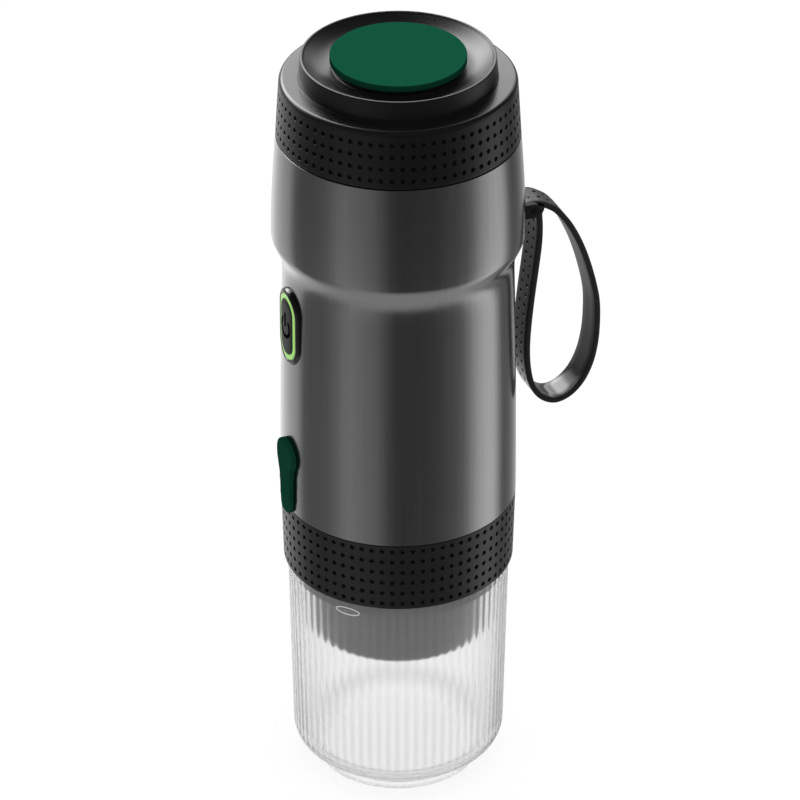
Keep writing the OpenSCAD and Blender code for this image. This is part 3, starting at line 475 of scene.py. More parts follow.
def lathe(bm, outline, steps, closed=True, start=0.0):
    """Sweeps a half section of (radius, height) points once round the axis, from the angle start."""
    points = [bm.verts.new((r * math.sin(start), -r * math.cos(start), z)) for r, z in outline]
    ends = points[1:] + points[:1] if closed else points[1:]
    edges = [bm.edges.new(pair) for pair in zip(points, ends)]
    bmesh.ops.spin(bm, geom=points + edges, cent=(0, 0, 0), axis=(0, 0, 1), angle=2 * math.pi,
                   steps=steps, use_merge=True)


print("crisp from", CRISP, "degrees, doubles merged within", SAME_POINT, "mm")

# %% [markdown]
# ## The body shell
# The shell is a drawn metal tube: a long waist that narrows a little, an S-shaped step, and a wider top
# that leans in towards the lid. Its outline is three short formulas, so the step can stay smooth. The
# window for the button, the slot for the charging socket, the hole for the cover's peg and the opening
# for the strap's lug are cut right through the wall.

# %% Outline of the body
WAIST_Z, STEP_Z, UPPER_Z, LID_Z = 92.3, 165.8, 178.9, 210.2
WAIST_R, WAIST_TOP_R, UPPER_R, UPPER_TOP_R = 34.5, 33.4, 36.5, 34.9
WAIST_CURVE, STEP_CURVE, UPPER_CURVE = 1.8, 1.7, 1.6


def body_radius(z):
    """Outer radius of the shell at a height, on its waist, step or upper part."""
    if z < STEP_Z:
        share = ((z - WAIST_Z) / (STEP_Z - WAIST_Z)) ** WAIST_CURVE
        return WAIST_R - (WAIST_R - WAIST_TOP_R) * share
    if z < UPPER_Z:
        rise = ((z - STEP_Z) / (UPPER_Z - STEP_Z)) ** STEP_CURVE
        return WAIST_TOP_R + (UPPER_R - WAIST_TOP_R) * (1 - math.cos(math.pi * rise)) / 2
    share = ((z - UPPER_Z) / (LID_Z - UPPER_Z)) ** UPPER_CURVE
    return UPPER_R - (UPPER_R - UPPER_TOP_R) * share


def spread(low, high, count):
    """Even steps from low up to just before high."""
    return [low + (high - low) * i / count for i in range(count)]


SHELL_WALL, FIRST_Z, TOP_Z = 1.4, 94, 210.1
waist_heights = [WAIST_Z + 0.3] + spread(FIRST_Z, STEP_Z, 24)
upper_heights = spread(STEP_Z, UPPER_Z, 24) + spread(UPPER_Z, TOP_Z, 12) + [TOP_Z]
outside = [(body_radius(z), z) for z in waist_heights + upper_heights]
inside = [(r - SHELL_WALL, z) for r, z in reversed(outside)]
foot_edge = [(WAIST_R - SHELL_WALL + 0.2, WAIST_Z), (WAIST_R - 0.25, WAIST_Z)]
top_edge = [(UPPER_TOP_R - 0.08, LID_Z), (UPPER_TOP_R - SHELL_WALL + 0.2, LID_Z)]
print("body outline has", len(outside), "heights")

# %% Plugs in the shape of the windows
def edges_of(verts):
    """Every edge that meets one of the points."""
    return list({e for v in verts for e in v.link_edges})


def oblong_loop(bm, width, height, out, segments=48):
    """A closed loop with round ends in the x-y plane, at a distance out along z."""
    ring = bmesh.ops.create_circle(bm, cap_ends=False, radius=width / 2, segments=segments)["verts"]
    half_step = Matrix.Rotation(math.pi / segments, 3, "Z")
    bmesh.ops.rotate(bm, cent=(0, 0, 0), matrix=half_step, verts=ring)
    upper = [v for v in ring if v.co.y > 0]
    lower = [v for v in ring if v.co.y < 0]
    bmesh.ops.translate(bm, vec=(0, (height - width) / 2, out), verts=upper)
    bmesh.ops.translate(bm, vec=(0, (width - height) / 2, out), verts=lower)
    return edges_of(ring)


FRONT, BACK, CUT_FROM, CUT_TO = -1, 1, 28, 40


def window_cutter(width, height, z, side, lying):
    """A closed oblong plug through the wall, in front or at the back, upright or lying."""
    bm = bmesh.new()
    inner = oblong_loop(bm, width, height, CUT_FROM)
    outer = oblong_loop(bm, width, height, CUT_TO)
    bmesh.ops.edgeloop_fill(bm, edges=inner)
    bmesh.ops.edgeloop_fill(bm, edges=outer)
    bmesh.ops.bridge_loops(bm, edges=inner + outer)
    for v in bm.verts:
        across, lift = (v.co.y, -v.co.x) if lying else (v.co.x, v.co.y)
        v.co = Vector((across, side * v.co.z, z + lift)) * MM
    bmesh.ops.recalc_face_normals(bm, faces=bm.faces)
    mesh = bpy.data.meshes.new("window_cutter")
    bm.to_mesh(mesh)
    bm.free()
    cutter = bpy.data.objects.new("window_cutter", mesh)
    bpy.context.scene.collection.objects.link(cutter)
    return cutter


BUTTON_Z, PORT_Z, PEG_Z, PIN_Z = 153.6, 110.2, 94.4, 179.3
WINDOWS = [(14.5, 24.0, BUTTON_Z, FRONT, False), (3.4, 9.2, PORT_Z, FRONT, True),
           (2.6, 2.61, PEG_Z, FRONT, False), (5.7, 13.5, PIN_Z, BACK, True)]
print("windows:", len(WINDOWS))

# %% Turn the shell and cut its windows
ROUND_STEPS = 192
bm = bmesh.new()
lathe(bm, foot_edge + outside + top_edge + inside, ROUND_STEPS)
body_shell = finish_piece("body_shell_metal", bm, "main_body", "gunmetal", gunmetal, "body_shell")
cutters = [window_cutter(*window) for window in WINDOWS]
for cutter in cutters:
    cut = body_shell.modifiers.new("window", "BOOLEAN")
    cut.object = cutter
    cut.solver = "EXACT"
shown = body_shell.evaluated_get(bpy.context.evaluated_depsgraph_get())
cut_mesh = bpy.data.meshes.new_from_object(shown)
body_shell.modifiers.clear()
body_shell.data = cut_mesh
cut_mesh.shade_smooth()
cut_mesh.set_sharp_from_angle(angle=math.radians(CRISP))
for cutter in cutters:
    bpy.data.objects.remove(cutter)
print("shell after its windows:", len(cut_mesh.polygons), "faces")

# %% [markdown]
# ## Dimpled rubber
# Both grip bands carry a grid of small blind holes, 72 to a turn. Cutting hundreds of holes would be
# slow and untidy. Instead one square of rubber with one hole is made, stacked into a column, wrapped on
# the band's cone and repeated round the axis, so that neighbouring squares share their edges.

# %% One square of rubber with a hole in it
HOLE_R, HOLE_DEPTH, RIM_SOFT = 0.68, 0.8, 0.12


def only_verts(geom):
    """The points among what an operator hands back."""
    return [g for g in geom if isinstance(g, bmesh.types.BMVert)]


def dimple_square(wide, high, hole_r, depth):
    """A square in the x-y plane with a blind hole, its rim softened."""
    bm = bmesh.new()
    grid = bmesh.ops.create_grid(bm, x_segments=3, y_segments=3, size=0.5)["verts"]
    middle = [v for v in grid if max(abs(v.co.x), abs(v.co.y)) < 0.4]
    bmesh.ops.delete(bm, geom=middle, context="VERTS")
    bmesh.ops.scale(bm, vec=(wide, high, 1), verts=bm.verts)
    border = bm.edges[:]
    rim = bmesh.ops.create_circle(bm, cap_ends=False, radius=hole_r + RIM_SOFT, segments=12)["verts"]
    half_step = Matrix.Rotation(math.radians(15), 3, "Z")
    bmesh.ops.rotate(bm, cent=(0, 0, 0), matrix=half_step, verts=rim)
    loop = edges_of(rim)
    bmesh.ops.bridge_loops(bm, edges=border + loop)
    for radius, down in ((hole_r, RIM_SOFT), (0.85 * hole_r, depth)):
        grown = bmesh.ops.extrude_edge_only(bm, edges=loop)["geom"]
        rim = only_verts(grown)
        grown_edges = [g for g in grown if isinstance(g, bmesh.types.BMEdge)]
        loop = [e for e in grown_edges if all(v in rim for v in e.verts)]
        for v in rim:
            flat = Vector((v.co.x, v.co.y)).normalized() * radius
            v.co = (flat.x, flat.y, -down)
    bmesh.ops.edgeloop_fill(bm, edges=loop)
    return bm


def repeat(bm, angle, steps, step_by=(0, 0, 0)):
    """Copies everything round the z axis, or along step_by."""
    everything = bm.verts[:] + bm.edges[:] + bm.faces[:]
    bmesh.ops.spin(bm, geom=everything, cent=(0, 0, 0), axis=(0, 0, 1), dvec=step_by, angle=angle,
                   steps=steps, use_duplicate=True)


square = dimple_square(3.0, 3.6, HOLE_R, HOLE_DEPTH)
print("one dimple has", len(square.faces), "faces")
square.free()

# %% Wrap the squares into a band
COLUMNS = 72


def dimpled_band(rows, first_z, pitch, radius_at, rest_of_section):
    """Rows of dimples on a cone, closed by the rest of the band's section."""
    column_angle = 2 * math.pi / COLUMNS
    wide = column_angle * radius_at(first_z)
    bm = dimple_square(wide, pitch, HOLE_R, HOLE_DEPTH)
    repeat(bm, 0, rows - 1, (0, pitch, 0))
    for v in bm.verts:
        z = first_z + v.co.y
        out = radius_at(z) + v.co.z
        turn = v.co.x / wide * column_angle
        v.co = (out * math.sin(turn), -out * math.cos(turn), z)
    repeat(bm, 2 * math.pi - column_angle, COLUMNS - 1)
    lathe(bm, rest_of_section, 3 * COLUMNS, closed=False, start=-column_angle / 2)
    return bm


BAND_Z, BAND_TOP, BAND_R, BAND_TOP_R, BAND_SEAT = 70.5, 92.25, 33.85, 34.45, 32.62
LOW_ROWS, LOW_PITCH, LOW_FIRST = 6, 3.62, 72.35


def low_band_radius(z):
    """Outer radius of the lower band at a height."""
    return BAND_R + (BAND_TOP_R - BAND_R) * (z - BAND_Z) / (BAND_TOP - BAND_Z)


low_start, low_end = LOW_FIRST - LOW_PITCH / 2, LOW_FIRST + (LOW_ROWS - 0.5) * LOW_PITCH
print("lower band: squares from", round(low_start, 2), "to", round(low_end, 2))

# %% The lower grip band
low_section = [(low_band_radius(low_end), low_end), (BAND_TOP_R, BAND_TOP - 0.3),
               (BAND_TOP_R - 0.25, BAND_TOP), (BAND_SEAT, BAND_TOP), (BAND_SEAT, BAND_Z), (33.3, BAND_Z),
               (low_band_radius(LOW_FIRST) - 0.3, BAND_Z), (low_band_radius(low_start), low_start)]
bm = dimpled_band(LOW_ROWS, LOW_FIRST, LOW_PITCH, low_band_radius, low_section)
finish_piece("lower_band_rubber", bm, "main_body", "grip_rubber", grip_rubber, "lower_grip_band")

# %% The lid's grip band
LID_FOOT, LID_BAND_TOP, LID_TOP_R, SHOULDER_Z = 210.5, 226.7, 33.8, 228.0
LID_ROWS, LID_PITCH, LID_FIRST, LID_BAND_THICK = 4, 3.67, 213.0, 1.2


def lid_radius(z):
    """Outer radius of the lid's band at a height."""
    return UPPER_TOP_R + (LID_TOP_R - UPPER_TOP_R) * (z - LID_Z) / (SHOULDER_Z - LID_Z)


lid_start, lid_end = LID_FIRST - LID_PITCH / 2, LID_FIRST + (LID_ROWS - 0.5) * LID_PITCH
band_top, foot_r = LID_BAND_TOP - 0.05, lid_radius(LID_FOOT)
lid_section = [(lid_radius(lid_end), lid_end), (lid_radius(band_top), band_top),
               (lid_radius(band_top) - LID_BAND_THICK, band_top), (foot_r - LID_BAND_THICK, LID_FOOT),
               (foot_r - 0.35, LID_FOOT), (foot_r - 0.08, LID_FOOT + 0.12),
               (lid_radius(LID_FOOT + 0.4), LID_FOOT + 0.4), (lid_radius(lid_start), lid_start)]
bm = dimpled_band(LID_ROWS, LID_FIRST, LID_PITCH, lid_radius, lid_section)
finish_piece("lid_band_rubber", bm, "lid", "grip_rubber", lid_rubber, "lid_grip_band")

# %% [markdown]
# ## The lid and its disc
# The lid is a turned cap: a rounded shoulder, a raised ring with a thin rim, and a shallow dish that
# holds the green disc. The tiny roundings on the rim matter most, because they catch the thin bright
# line that draws the edge.

# %% The lid cap
RIM_R, RIM_Z, RING_R, DISH_R, DISH_Z, DISC_R = 27.8, 234.3, 28.3, 20.0, 231.3, 19.4
DISC_SEAT, PEDESTAL_R, BOSS_R, DISH_EDGE, ROUND = 233.0, 18.7, 16.4, 27.0, 0.3
SOCKET_Z, CEILING_Z, LAND_Z, BORE_R, CAVITY_R = 229.9, 227.7, 221.8, 32.2, 26.8
SHOULDER_ROUND, BAND_RECESS, DISH_DEEP = 1.3, 1.25, 2.85
lid_outline = [(BORE_R, LID_FOOT), (foot_r - BAND_RECESS, LID_FOOT),
               (lid_radius(LID_BAND_TOP) - BAND_RECESS, LID_BAND_TOP)]
shoulder = arc(LID_TOP_R - SHOULDER_ROUND, LID_BAND_TOP, SHOULDER_ROUND, 0, 90, 8)
ring_foot = [(RING_R + 0.1, SHOULDER_Z), (RING_R, SHOULDER_Z + 0.1)]
rim = arc(RIM_R - ROUND, RIM_Z - ROUND, ROUND, 10, 90, 4)
rim += arc(RIM_R - 0.55, RIM_Z - ROUND, ROUND, 100, 150, 3)
dish = [(DISH_EDGE + (DISH_R - DISH_EDGE) * t, RIM_Z - 0.15 - DISH_DEEP * math.sin(math.pi / 2 * t))
        for t in [i / 12 for i in range(1, 13)]]
pedestal = [(PEDESTAL_R + 0.2, DISH_Z), (PEDESTAL_R, DISH_Z + 0.2), (PEDESTAL_R, DISC_SEAT),
            (BOSS_R + 0.1, DISC_SEAT)]
inner_side = [(BOSS_R + 0.1, SOCKET_Z), (0, SOCKET_Z), (0, CEILING_Z), (CAVITY_R, CEILING_Z),
              (CAVITY_R, LAND_Z), (BORE_R, LAND_Z)]
bm = bmesh.new()
lathe(bm, lid_outline + shoulder + ring_foot + rim + dish + pedestal + inner_side, ROUND_STEPS)
finish_piece("lid_cap_plastic", bm, "lid", "black_plastic", black_plastic, "lid_cap", crisp=40)

# %% The green disc
DISC_TOP, DISC_LOW, SMALL_STEPS = 235.0, 230.0, 160
disc_edge = arc(DISC_R - ROUND, DISC_TOP - ROUND, ROUND, 0, 90, 5)
disc_below = [(0, DISC_LOW), (BOSS_R, DISC_LOW), (BOSS_R, DISC_SEAT), (DISC_R - 0.15, DISC_SEAT),
              (DISC_R, DISC_SEAT + 0.15)]
bm = bmesh.new()
lathe(bm, disc_below + disc_edge + [(12, DISC_TOP), (0, DISC_TOP)], SMALL_STEPS)
finish_piece("lid_disc_painted", bm, "lid", "green_metal", green_metal, "lid_disc")

# %% [markdown]
# ## The clear cup
# The cup is a thick moulded beaker with 72 upright ribs that run out into the rounded bottom, a smooth
# foot and a neck that slips into the collar. It is turned with eight points to a rib, and then each
# point of the outer wall is pulled in towards the grooves. The inside stays smooth, so that it rinses
# clean.

# %% Turn the cup
CUP_TOP, CUP_R, CUP_FLARE, BOWL_Z, BOWL_MID_R, BOWL_ROUND = 70.2, 31.4, 1.3, 11.5, 24.4, 7
FLOOR_Z, HOLLOW_TOP, HOLLOW_R, NECK_R, NECK_IN_R, NECK_TOP = 7.1, 65.8, 30.45, 30.7, 28.7, 81.7
foot = [(0, 0.7), (20.6, 0.7), (21.3, 0.15), (22.2, 0), (23.6, 0), (24.1, 0.2), (24.2, 0.6), (24.2, 4.2),
        (24.5, 4.52)]
bowl = arc(BOWL_MID_R, BOWL_Z, BOWL_ROUND, -86, 0, 14)
wall = [(CUP_R + CUP_FLARE * t, BOWL_Z + (CUP_TOP - 0.25 - BOWL_Z) * t)
        for t in [i / 12 for i in range(1, 13)]]
neck = [(32.5, CUP_TOP), (NECK_R + 0.05, CUP_TOP), (NECK_R, CUP_TOP + 0.2), (NECK_R, NECK_TOP - 0.3),
        (NECK_R - 0.3, NECK_TOP), (NECK_IN_R + 0.3, NECK_TOP), (NECK_IN_R, NECK_TOP - 0.3)]
hollow = [(NECK_IN_R, 68.0), (HOLLOW_R, HOLLOW_TOP)]
hollow += [(HOLLOW_R - 1.25 * t, HOLLOW_TOP - 53.9 * t) for t in (0.25, 0.5, 0.75)]
hollow += arc(BOWL_MID_R, FLOOR_Z + 4.8, 4.8, 0, -90, 10) + [(12, FLOOR_Z), (0, FLOOR_Z)]
bm = bmesh.new()
lathe(bm, foot + bowl + wall + neck + hollow, RIBS * 8)
print("cup before its ribs:", len(bm.faces), "faces")

# %% Press in the ribs
RIB_DEPTH, RIB_LOW, FADE_FROM, FADE_OVER = 0.2, 5, 5.5, 9
for v in bm.verts:
    reach = math.hypot(v.co.x, v.co.y)
    inner_limit = 24.3 + 6.5 * min(1, (v.co.z - RIB_LOW) / 4)
    if RIB_LOW < v.co.z < CUP_TOP - 0.1 and reach > inner_limit:
        across_rib = (math.atan2(v.co.y, v.co.x) / (2 * math.pi) * RIBS) % 1
        fade = min(1, max(0, (v.co.z - FADE_FROM) / FADE_OVER))
        depth = RIB_DEPTH * fade * fade * (3 - 2 * fade)
        groove = depth * (0.5 + 0.5 * math.cos(2 * math.pi * across_rib))
        v.co.x, v.co.y = v.co.x * (1 - groove / reach), v.co.y * (1 - groove / reach)
finish_piece("cup_clear", bm, "cup", "clear_cup", clear_cup, "cup", crisp=30)

# %% [markdown]
# ## The brew barrel
# Through the cup one sees the grey barrel that holds the capsule. It is a plain turned bucket with a
# rounded lower edge and a step where it goes up into the collar. Its finish has a soft bloom of sheen,
# like matt moulded plastic.

# %% Turn the barrel
SPOUT_HOLE_R, BARREL_Z, BARREL_FLOOR = 2.9, 46.7, 49.2
barrel = [(SPOUT_HOLE_R, BARREL_Z)] + arc(24.5, BARREL_Z + 1.6, 1.6, -90, 0, 6)
barrel += [(27.7, 73.4), (27.4, 73.7), (25.8, 73.7), (25.8, 84.1), (25.5, 84.4), (23.8, 84.4), (23.6, 84.2)]
barrel += [(23.6, BARREL_FLOOR), (SPOUT_HOLE_R, BARREL_FLOOR)]
bm = bmesh.new()
lathe(bm, barrel, SMALL_STEPS)
finish_piece("brew_barrel_grey", bm, "brew_head", "barrel_grey", barrel_grey, "brew_barrel")

# %% [markdown]
# ## The button
# A glossy bezel stands proud of the shell. In it lies the lit ring, and inside that the button itself
# with its power sign. All three are oblongs with round ends, so each one is a stack of oblong loops,
# bridged one to the next, and then bent round the body's axis.

# %% Stacked oblongs, bent round the front
def stack_oblongs(bm, layers, cap=False):
    """Bridges oblong loops (width, height, distance from the axis); cap closes the last loop."""
    loops = [oblong_loop(bm, *layer) for layer in layers]
    for one, other in zip(loops, loops[1:]):
        bmesh.ops.bridge_loops(bm, edges=one + other)
    if cap:
        bmesh.ops.edgeloop_fill(bm, edges=loops[-1])
    return loops


def bend_round_front(bm, z):
    """Takes x, height and distance from the axis to a place on the maker's front."""
    for v in bm.verts:
        x, lift, out = v.co
        v.co = (x, -math.sqrt(out * out - x * x), z + lift)


FACE_R, BEZEL_IN_R, CAP_IN_R = 34.76, 31.6, 31.2
bm = bmesh.new()
bezel = [(11.5, 21.0, BEZEL_IN_R), (11.5, 21.0, FACE_R - 0.22), (11.75, 21.25, FACE_R - 0.05),
         (12.2, 21.7, FACE_R), (13.0, 22.5, FACE_R - 0.03), (13.6, 23.1, FACE_R - 0.18),
         (14.05, 23.55, FACE_R - 0.48), (14.3, 23.8, FACE_R - 0.95), (14.3, 23.8, BEZEL_IN_R)]
loops = stack_oblongs(bm, bezel)
bmesh.ops.bridge_loops(bm, edges=loops[0] + loops[-1])
bend_round_front(bm, BUTTON_Z)
finish_piece("button_bezel_gloss", bm, "main_body", "gloss_black", gloss_black, "button_bezel")

# %% The lit ring and the button's cap
bm = bmesh.new()
light = [(8.5, 18.0, BEZEL_IN_R), (8.5, 18.0, FACE_R - 0.3), (8.7, 18.2, FACE_R - 0.14),
         (9.2, 18.7, FACE_R - 0.08), (9.9, 19.4, FACE_R - 0.05), (10.6, 20.1, FACE_R - 0.08),
         (11.1, 20.6, FACE_R - 0.14), (11.3, 20.8, FACE_R - 0.3), (11.3, 20.8, BEZEL_IN_R)]
loops = stack_oblongs(bm, light)
bmesh.ops.bridge_loops(bm, edges=loops[0] + loops[-1])
bend_round_front(bm, BUTTON_Z)
finish_piece("light_ring_lime", bm, "main_body", "lime_light", lime_light, "light_ring")

bm = bmesh.new()
CAP_R = FACE_R + 0.2
cap = [(0.3, 9.8, CAP_IN_R), (8.1, 17.6, CAP_IN_R), (8.1, 17.6, CAP_R - 0.4), (7.95, 17.45, CAP_R - 0.2),
       (7.6, 17.1, CAP_R - 0.07), (7, 16.5, CAP_R), (5, 14.5, CAP_R), (3.4, 12.9, CAP_R),
       (1.8, 11.3, CAP_R), (0.3, 9.8, CAP_R)]
loops = stack_oblongs(bm, cap, cap=True)
bmesh.ops.edgeloop_fill(bm, edges=loops[0])
bend_round_front(bm, BUTTON_Z)
finish_piece("button_cap_satin", bm, "button", "button_face", button_face, "button_cap")

# %% The power sign on the cap
bm = bmesh.new()
SIGN_R, SIGN_LINE, BAR_LONG, BAR_MID, SIGN_HIGH, SIGN_SUNK = 2.5, 0.95, 4.3, 2.4, 0.12, 0.04
gap = math.radians(40)
start = [bm.verts.new((math.sin(gap) * r, math.cos(gap) * r, 0)) for r in (SIGN_R, SIGN_R + SIGN_LINE)]
edge = bm.edges.new(start)
bmesh.ops.spin(bm, geom=start + [edge], cent=(0, 0, 0), axis=(0, 0, -1), angle=2 * math.pi - 2 * gap,
               steps=36)
bar = bmesh.ops.create_grid(bm, x_segments=1, y_segments=2, size=0.5)["verts"]
bmesh.ops.scale(bm, vec=(SIGN_LINE, BAR_LONG, 1), verts=bar)
bmesh.ops.translate(bm, vec=(0, BAR_MID, 0), verts=bar)
lifted = bmesh.ops.extrude_face_region(bm, geom=bm.faces[:])["geom"]
bmesh.ops.translate(bm, vec=(0, 0, SIGN_HIGH), verts=only_verts(lifted))
bmesh.ops.translate(bm, vec=(0, 0, CAP_R - SIGN_SUNK), verts=bm.verts)
bend_round_front(bm, BUTTON_Z)
finish_piece("power_sign", bm, "button", "gloss_black", sign_ink)

# %% [markdown]
# ## The port cover
# A soft green tongue closes the charging socket: a thick round head to pull on, and a thinner tail that
# is pegged to the body just above the band and bends when the cover is opened. A flat sheet with the
# tongue's outline is given its thickness, rounded along the rim and bent round the body.

# %% Outline of the tongue, row by row
HEAD_R, TAIL_HALF, TAIL_Z, TAIL_CORNER = 5.6, 3.8, 91.8, 2.4
TAIL_OUT, HEAD_MORE, HEAD_FROM, HEAD_OVER = 35.8, 0.6, 98.0, 10.0


def tongue_rows():
    """(height, half width) from the tail's end up to the top of the head."""
    rows = []
    for degrees in (0, 15, 30, 45, 60, 75, 90):
        t = math.radians(degrees)
        half = TAIL_HALF - TAIL_CORNER * (1 - math.sin(t))
        rows.append((TAIL_Z + TAIL_CORNER * (1 - math.cos(t)), half))
    rows += [(z, TAIL_HALF) for z in spread(TAIL_Z + 4, 103.0, 6)]
    rows += [(103.4, TAIL_HALF + 0.04), (104.6, TAIL_HALF + 0.25), (105.8, TAIL_HALF + 0.6)]
    for degrees in range(-38, 80, 8):
        t = math.radians(degrees)
        rows.append((PORT_Z + HEAD_R * math.sin(t), HEAD_R * math.cos(t)))
    return rows


def tongue_out(z):
    """How far the tongue's outer face is from the maker's axis."""
    head = min(1, max(0, (z - HEAD_FROM) / HEAD_OVER))
    return TAIL_OUT + HEAD_MORE * head * head * (3 - 2 * head)


rows = tongue_rows()
print("tongue has", len(rows), "rows")

# %% Build the tongue
ACROSS, RIM_BEVEL, BUNG_SIZE, BUNG_OUT, BUNG_BEVEL = 12, 0.6, (7.6, 2.9, 1.5), 33.6, 0.5
bm = bmesh.new()
bmesh.ops.create_grid(bm, x_segments=ACROSS, y_segments=len(rows) - 1, size=0.5)
for v in bm.verts:
    z, half = rows[round((v.co.y + 0.5) * (len(rows) - 1))]
    v.co = (2 * v.co.x * half, z - PORT_Z, body_radius(max(z, WAIST_Z)) + 0.1)
lifted = bmesh.ops.extrude_face_region(bm, geom=bm.faces[:])["geom"]
front = set(only_verts(lifted))
for v in front:
    v.co.z = tongue_out(v.co.y + PORT_Z)


def is_side(face):
    """Whether a face belongs to the tongue's edge and not to its front."""
    return face.normal.z < 0.5 and not all(v in front for v in face.verts)


rim_edges = [e for e in bm.edges if all(v in front for v in e.verts) and any(map(is_side, e.link_faces))]
bmesh.ops.bevel(bm, geom=rim_edges, offset=RIM_BEVEL, segments=4, profile=0.5, affect="EDGES",
                material=-1)
bend_round_front(bm, PORT_Z)
bung = bmesh.ops.create_cube(bm, size=1)["verts"]
bmesh.ops.scale(bm, vec=BUNG_SIZE, verts=bung)
bmesh.ops.translate(bm, vec=(0, -BUNG_OUT, PORT_Z), verts=bung)
bmesh.ops.bevel(bm, geom=edges_of(bung), offset=BUNG_BEVEL, segments=3, profile=0.5, affect="EDGES",
                material=-1)
finish_piece("port_cover_rubber", bm, "port_flap", "green_rubber", green_rubber, "port_cover", crisp=50)

# %% [markdown]
# ## The wrist strap
# The strap is one moulded rubber band: a loop whose two ends join in a short stub on the lug's pin. Its
# outer face has two columns of small blind holes, and its inner face is smooth. The band is first made
# flat, with the same dimpled squares as the grip bands, and then every point is carried to its place
# along the loop's middle line.

# %% The loop's middle line
PIN_Y = 39.25
STRAP_WIDE, STRAP_THICK, STRAP_PITCH, STRAP_COLUMN = 9.5, 1.8, 3.1, 3.4
STRAP_HOLE_R, STRAP_HOLE_DEPTH, EYE_R = 0.5, 0.7, 1.9
ROUTE = [(-1.3, 0.8), (0.8, 1.1), (2.8, 0.85), (5.2, -0.4), (8.4, -2.8), (12.3, -8), (15.6, -14.5),
         (18.2, -21.5), (20.4, -29.5), (21.6, -36), (21.8, -43), (21.3, -50), (19.8, -56.5), (17, -62),
         (13, -65.6), (8.5, -66.6), (4.3, -64.4), (1.4, -60), (0, -54), (-0.4, -47), (0, -39),
         (0.9, -30), (2, -21), (2.9, -13), (3.1, -7), (2.7, -1)]
knots = [Vector((out, lift)) for out, lift in ROUTE]
knots = [2 * knots[0] - knots[1]] + knots + [2 * knots[-1] - knots[-2]]
line = []
for a, b, c, d in zip(knots, knots[1:], knots[2:], knots[3:]):
    line += interpolate_bezier(b, b + (c - a) / 6, c - (d - b) / 6, c, 25)[:-1]
line.append(knots[-2])
run = [0.0]
for a, b in zip(line, line[1:]):
    run.append(run[-1] + (b - a).length)
print("strap loop is", round(run[-1], 1), "mm long")


def place_on_loop(along_line, across, off):
    """A point of the flat strap on the loop: off is the distance outwards from the middle line."""
    last = len(run) - 1
    i = max(1, next((k for k, r in enumerate(run) if r >= along_line), last))
    share = (along_line - run[i - 1]) / (run[i] - run[i - 1])
    spot = line[i - 1].lerp(line[i], share)
    before, after = line[max(0, i - 4)], line[min(last, i + 3)]
    way = (after - before).normalized()
    outward = Vector((-way.y, way.x))
    spot = spot + outward * off
    return Vector((across, PIN_Y + spot.x, PIN_Z + spot.y))


# %% Make the strap flat, then carry it to the loop
squares = math.floor(run[-1] / STRAP_PITCH)
pitch = run[-1] / squares
bm = dimple_square(STRAP_COLUMN, pitch, STRAP_HOLE_R, STRAP_HOLE_DEPTH)
repeat(bm, 0, 1, (STRAP_COLUMN, 0, 0))
bmesh.ops.translate(bm, vec=(-STRAP_COLUMN / 2, pitch / 2, STRAP_THICK / 2), verts=bm.verts)
repeat(bm, 0, squares - 1, (0, pitch, 0))
half, thick = STRAP_WIDE / 2, STRAP_THICK / 2
rounding = [(STRAP_COLUMN, thick), (half - 0.4, thick), (half - 0.12, thick - 0.12), (half, thick - 0.4),
            (half, 0.4 - thick), (half - 0.12, 0.12 - thick), (half - 0.4, -thick), (2, -thick)]
rounding += [(-across, off) for across, off in reversed(rounding)]
section = [bm.verts.new((across, 0, off)) for across, off in rounding]
section_edges = [bm.edges.new(pair) for pair in zip(section, section[1:])]
bmesh.ops.spin(bm, geom=section + section_edges, cent=(0, 0, 0), axis=(0, 0, 1), dvec=(0, pitch / 3, 0),
               angle=0, steps=3 * squares)
for v in bm.verts:
    v.co = place_on_loop(v.co.y, v.co.x, v.co.z)
bmesh.ops.remove_doubles(bm, verts=bm.verts, dist=0.01)
bmesh.ops.holes_fill(bm, edges=[e for e in bm.edges if e.is_boundary], sides=0)
print("strap has", squares, "rows of dimples")

# %% The stub that joins the strands
def stub_profile():
    """Eye and stub in the strap's plane: out from the pin, and up."""
    stub_sides = [(2.0, -2.1), (3.7, -2.6), (4.3, -1.2), (4.5, 0.3), (3.4, 1.25), (1.8, 1.7)]
    return arc(0, 0, EYE_R, 60, 300, 16) + stub_sides


stub = [bm.verts.new((-half, PIN_Y + out, PIN_Z + lift)) for out, lift in stub_profile()]
face = bm.faces.new(stub)
grown = bmesh.ops.extrude_face_region(bm, geom=[face])["geom"]
far = only_verts(grown)
bmesh.ops.translate(bm, vec=(STRAP_WIDE, 0, 0), verts=far)
ends = [e for e in bm.edges if all(v in far for v in e.verts) or all(v in stub for v in e.verts)]
bmesh.ops.bevel(bm, geom=ends, offset=0.3, segments=3, profile=0.5, affect="EDGES", material=-1)
finish_piece("wrist_strap_rubber", bm, "wrist_strap", "strap_rubber", strap_rubber, "strap", crisp=40)

# %% [markdown]
# ## The oval mark on the cup
# A thin white oval is printed on the cup just under the band, as a mark for lining cup and collar up.
# Ink has a thickness of its own, so a flat oval ring is given a tenth of a millimetre and wrapped on the
# wall. A texture would have no edge to catch the light.

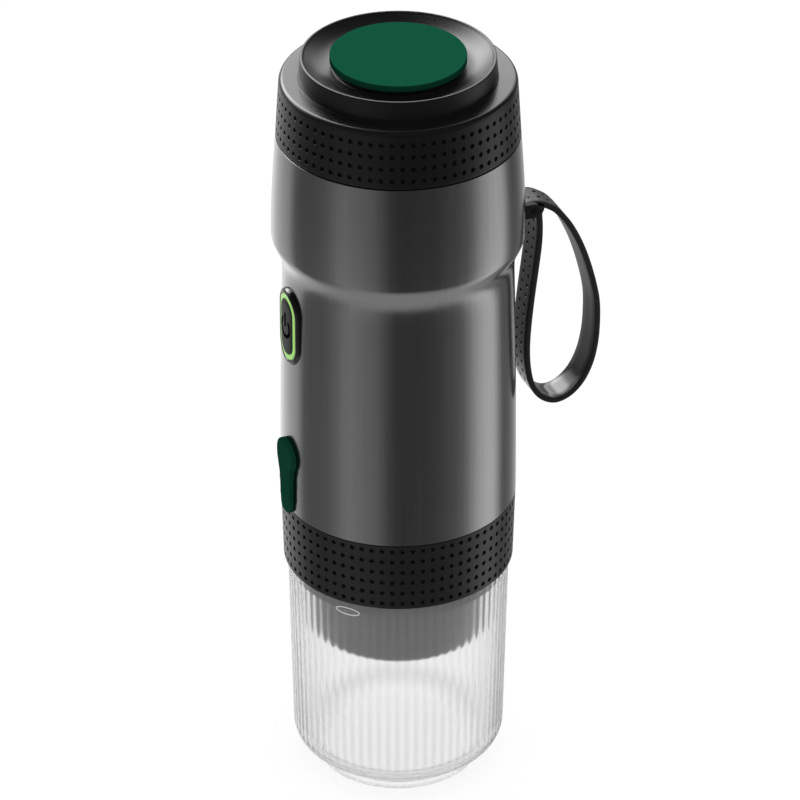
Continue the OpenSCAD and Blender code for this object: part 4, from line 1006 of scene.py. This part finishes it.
# %% Print the oval
bm = bmesh.new()
MARK_TURN = CAMERA_TURN - math.radians(27)
MARK_Z, MARK_HIGH, MARK_GAP, WALL_RISE = 66.7, 0.1, 0.01, 58.5
MARK_HALF, MARK_INNER = (3.9, 1.25, 1), (0.93, 0.78, 1)
ring = bmesh.ops.create_circle(bm, cap_ends=False, radius=1, segments=48)["verts"]
bmesh.ops.scale(bm, vec=MARK_HALF, verts=ring)
grown = bmesh.ops.extrude_edge_only(bm, edges=edges_of(ring))["geom"]
bmesh.ops.scale(bm, vec=MARK_INNER, verts=only_verts(grown))
lifted = bmesh.ops.extrude_face_region(bm, geom=bm.faces[:])["geom"]
bmesh.ops.translate(bm, vec=(0, 0, MARK_HIGH), verts=only_verts(lifted))
for v in bm.verts:
    x, lift, off = v.co
    z = MARK_Z + lift
    out = CUP_R + CUP_FLARE * (z - BOWL_Z) / WALL_RISE + off + MARK_GAP
    turn = MARK_TURN + x / out
    v.co = (out * math.sin(turn), -out * math.cos(turn), z)
finish_piece("cup_mark", bm, "cup", "white_plastic", white_plastic)

# %% [markdown]
# ## Pieces that keep their solid
# The pieces inside show only when the lid is off, the body is lifted or the port cover is open. Their
# solids are already right, so each of them only gets the finish of its slot.

# %% Finish the remaining solids
DRESSED = [
    (black_plastic, ["lower_collar", "neck_ring", "temperature_sensor", "spout"]),
    (lug_black, ["strap_lug"]),
    (dark_seal, ["cup_seal", "tank_gasket"]),
    (red_seal, ["brew_seal"]),
    (pale_seal, ["lid_seal"]),
    (steel, ["water_tank", "collar_screws", "pump_screws", "lid_screws", "usb_port", "motor_can",
             "motor_shaft", "idler_pin", "outlet_tube", "shower_plate", "piercing_needle",
             "capsule_cradle", "outlet_screen"]),
    (black_steel, ["strap_pin"]),
    (heater_metal, ["heater_plate"]),
    (chassis_plastic, ["chassis_lower", "chassis_upper", "tact_switch"]),
    (brass, ["chassis_pillars", "drive_gear", "driven_gear"]),
    (cell_wrap, ["battery_cells"]),
    (board, ["control_board"]),
    (pump_plastic, ["pump_body", "pump_cover"]),
    (tube_silicone, ["feed_tube"]),
    (white_plastic, ["switch_plunger"]),
    (green_rubber, ["cover_peg"]),
    (liner_plastic, ["lid_liner"]),
]
for finish, nodes in DRESSED:
    for node in nodes:
        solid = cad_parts[node]
        solid.data.materials.clear()
        solid.data.materials.append(finish)
print("solids dressed:", sum(len(nodes) for finish, nodes in DRESSED))
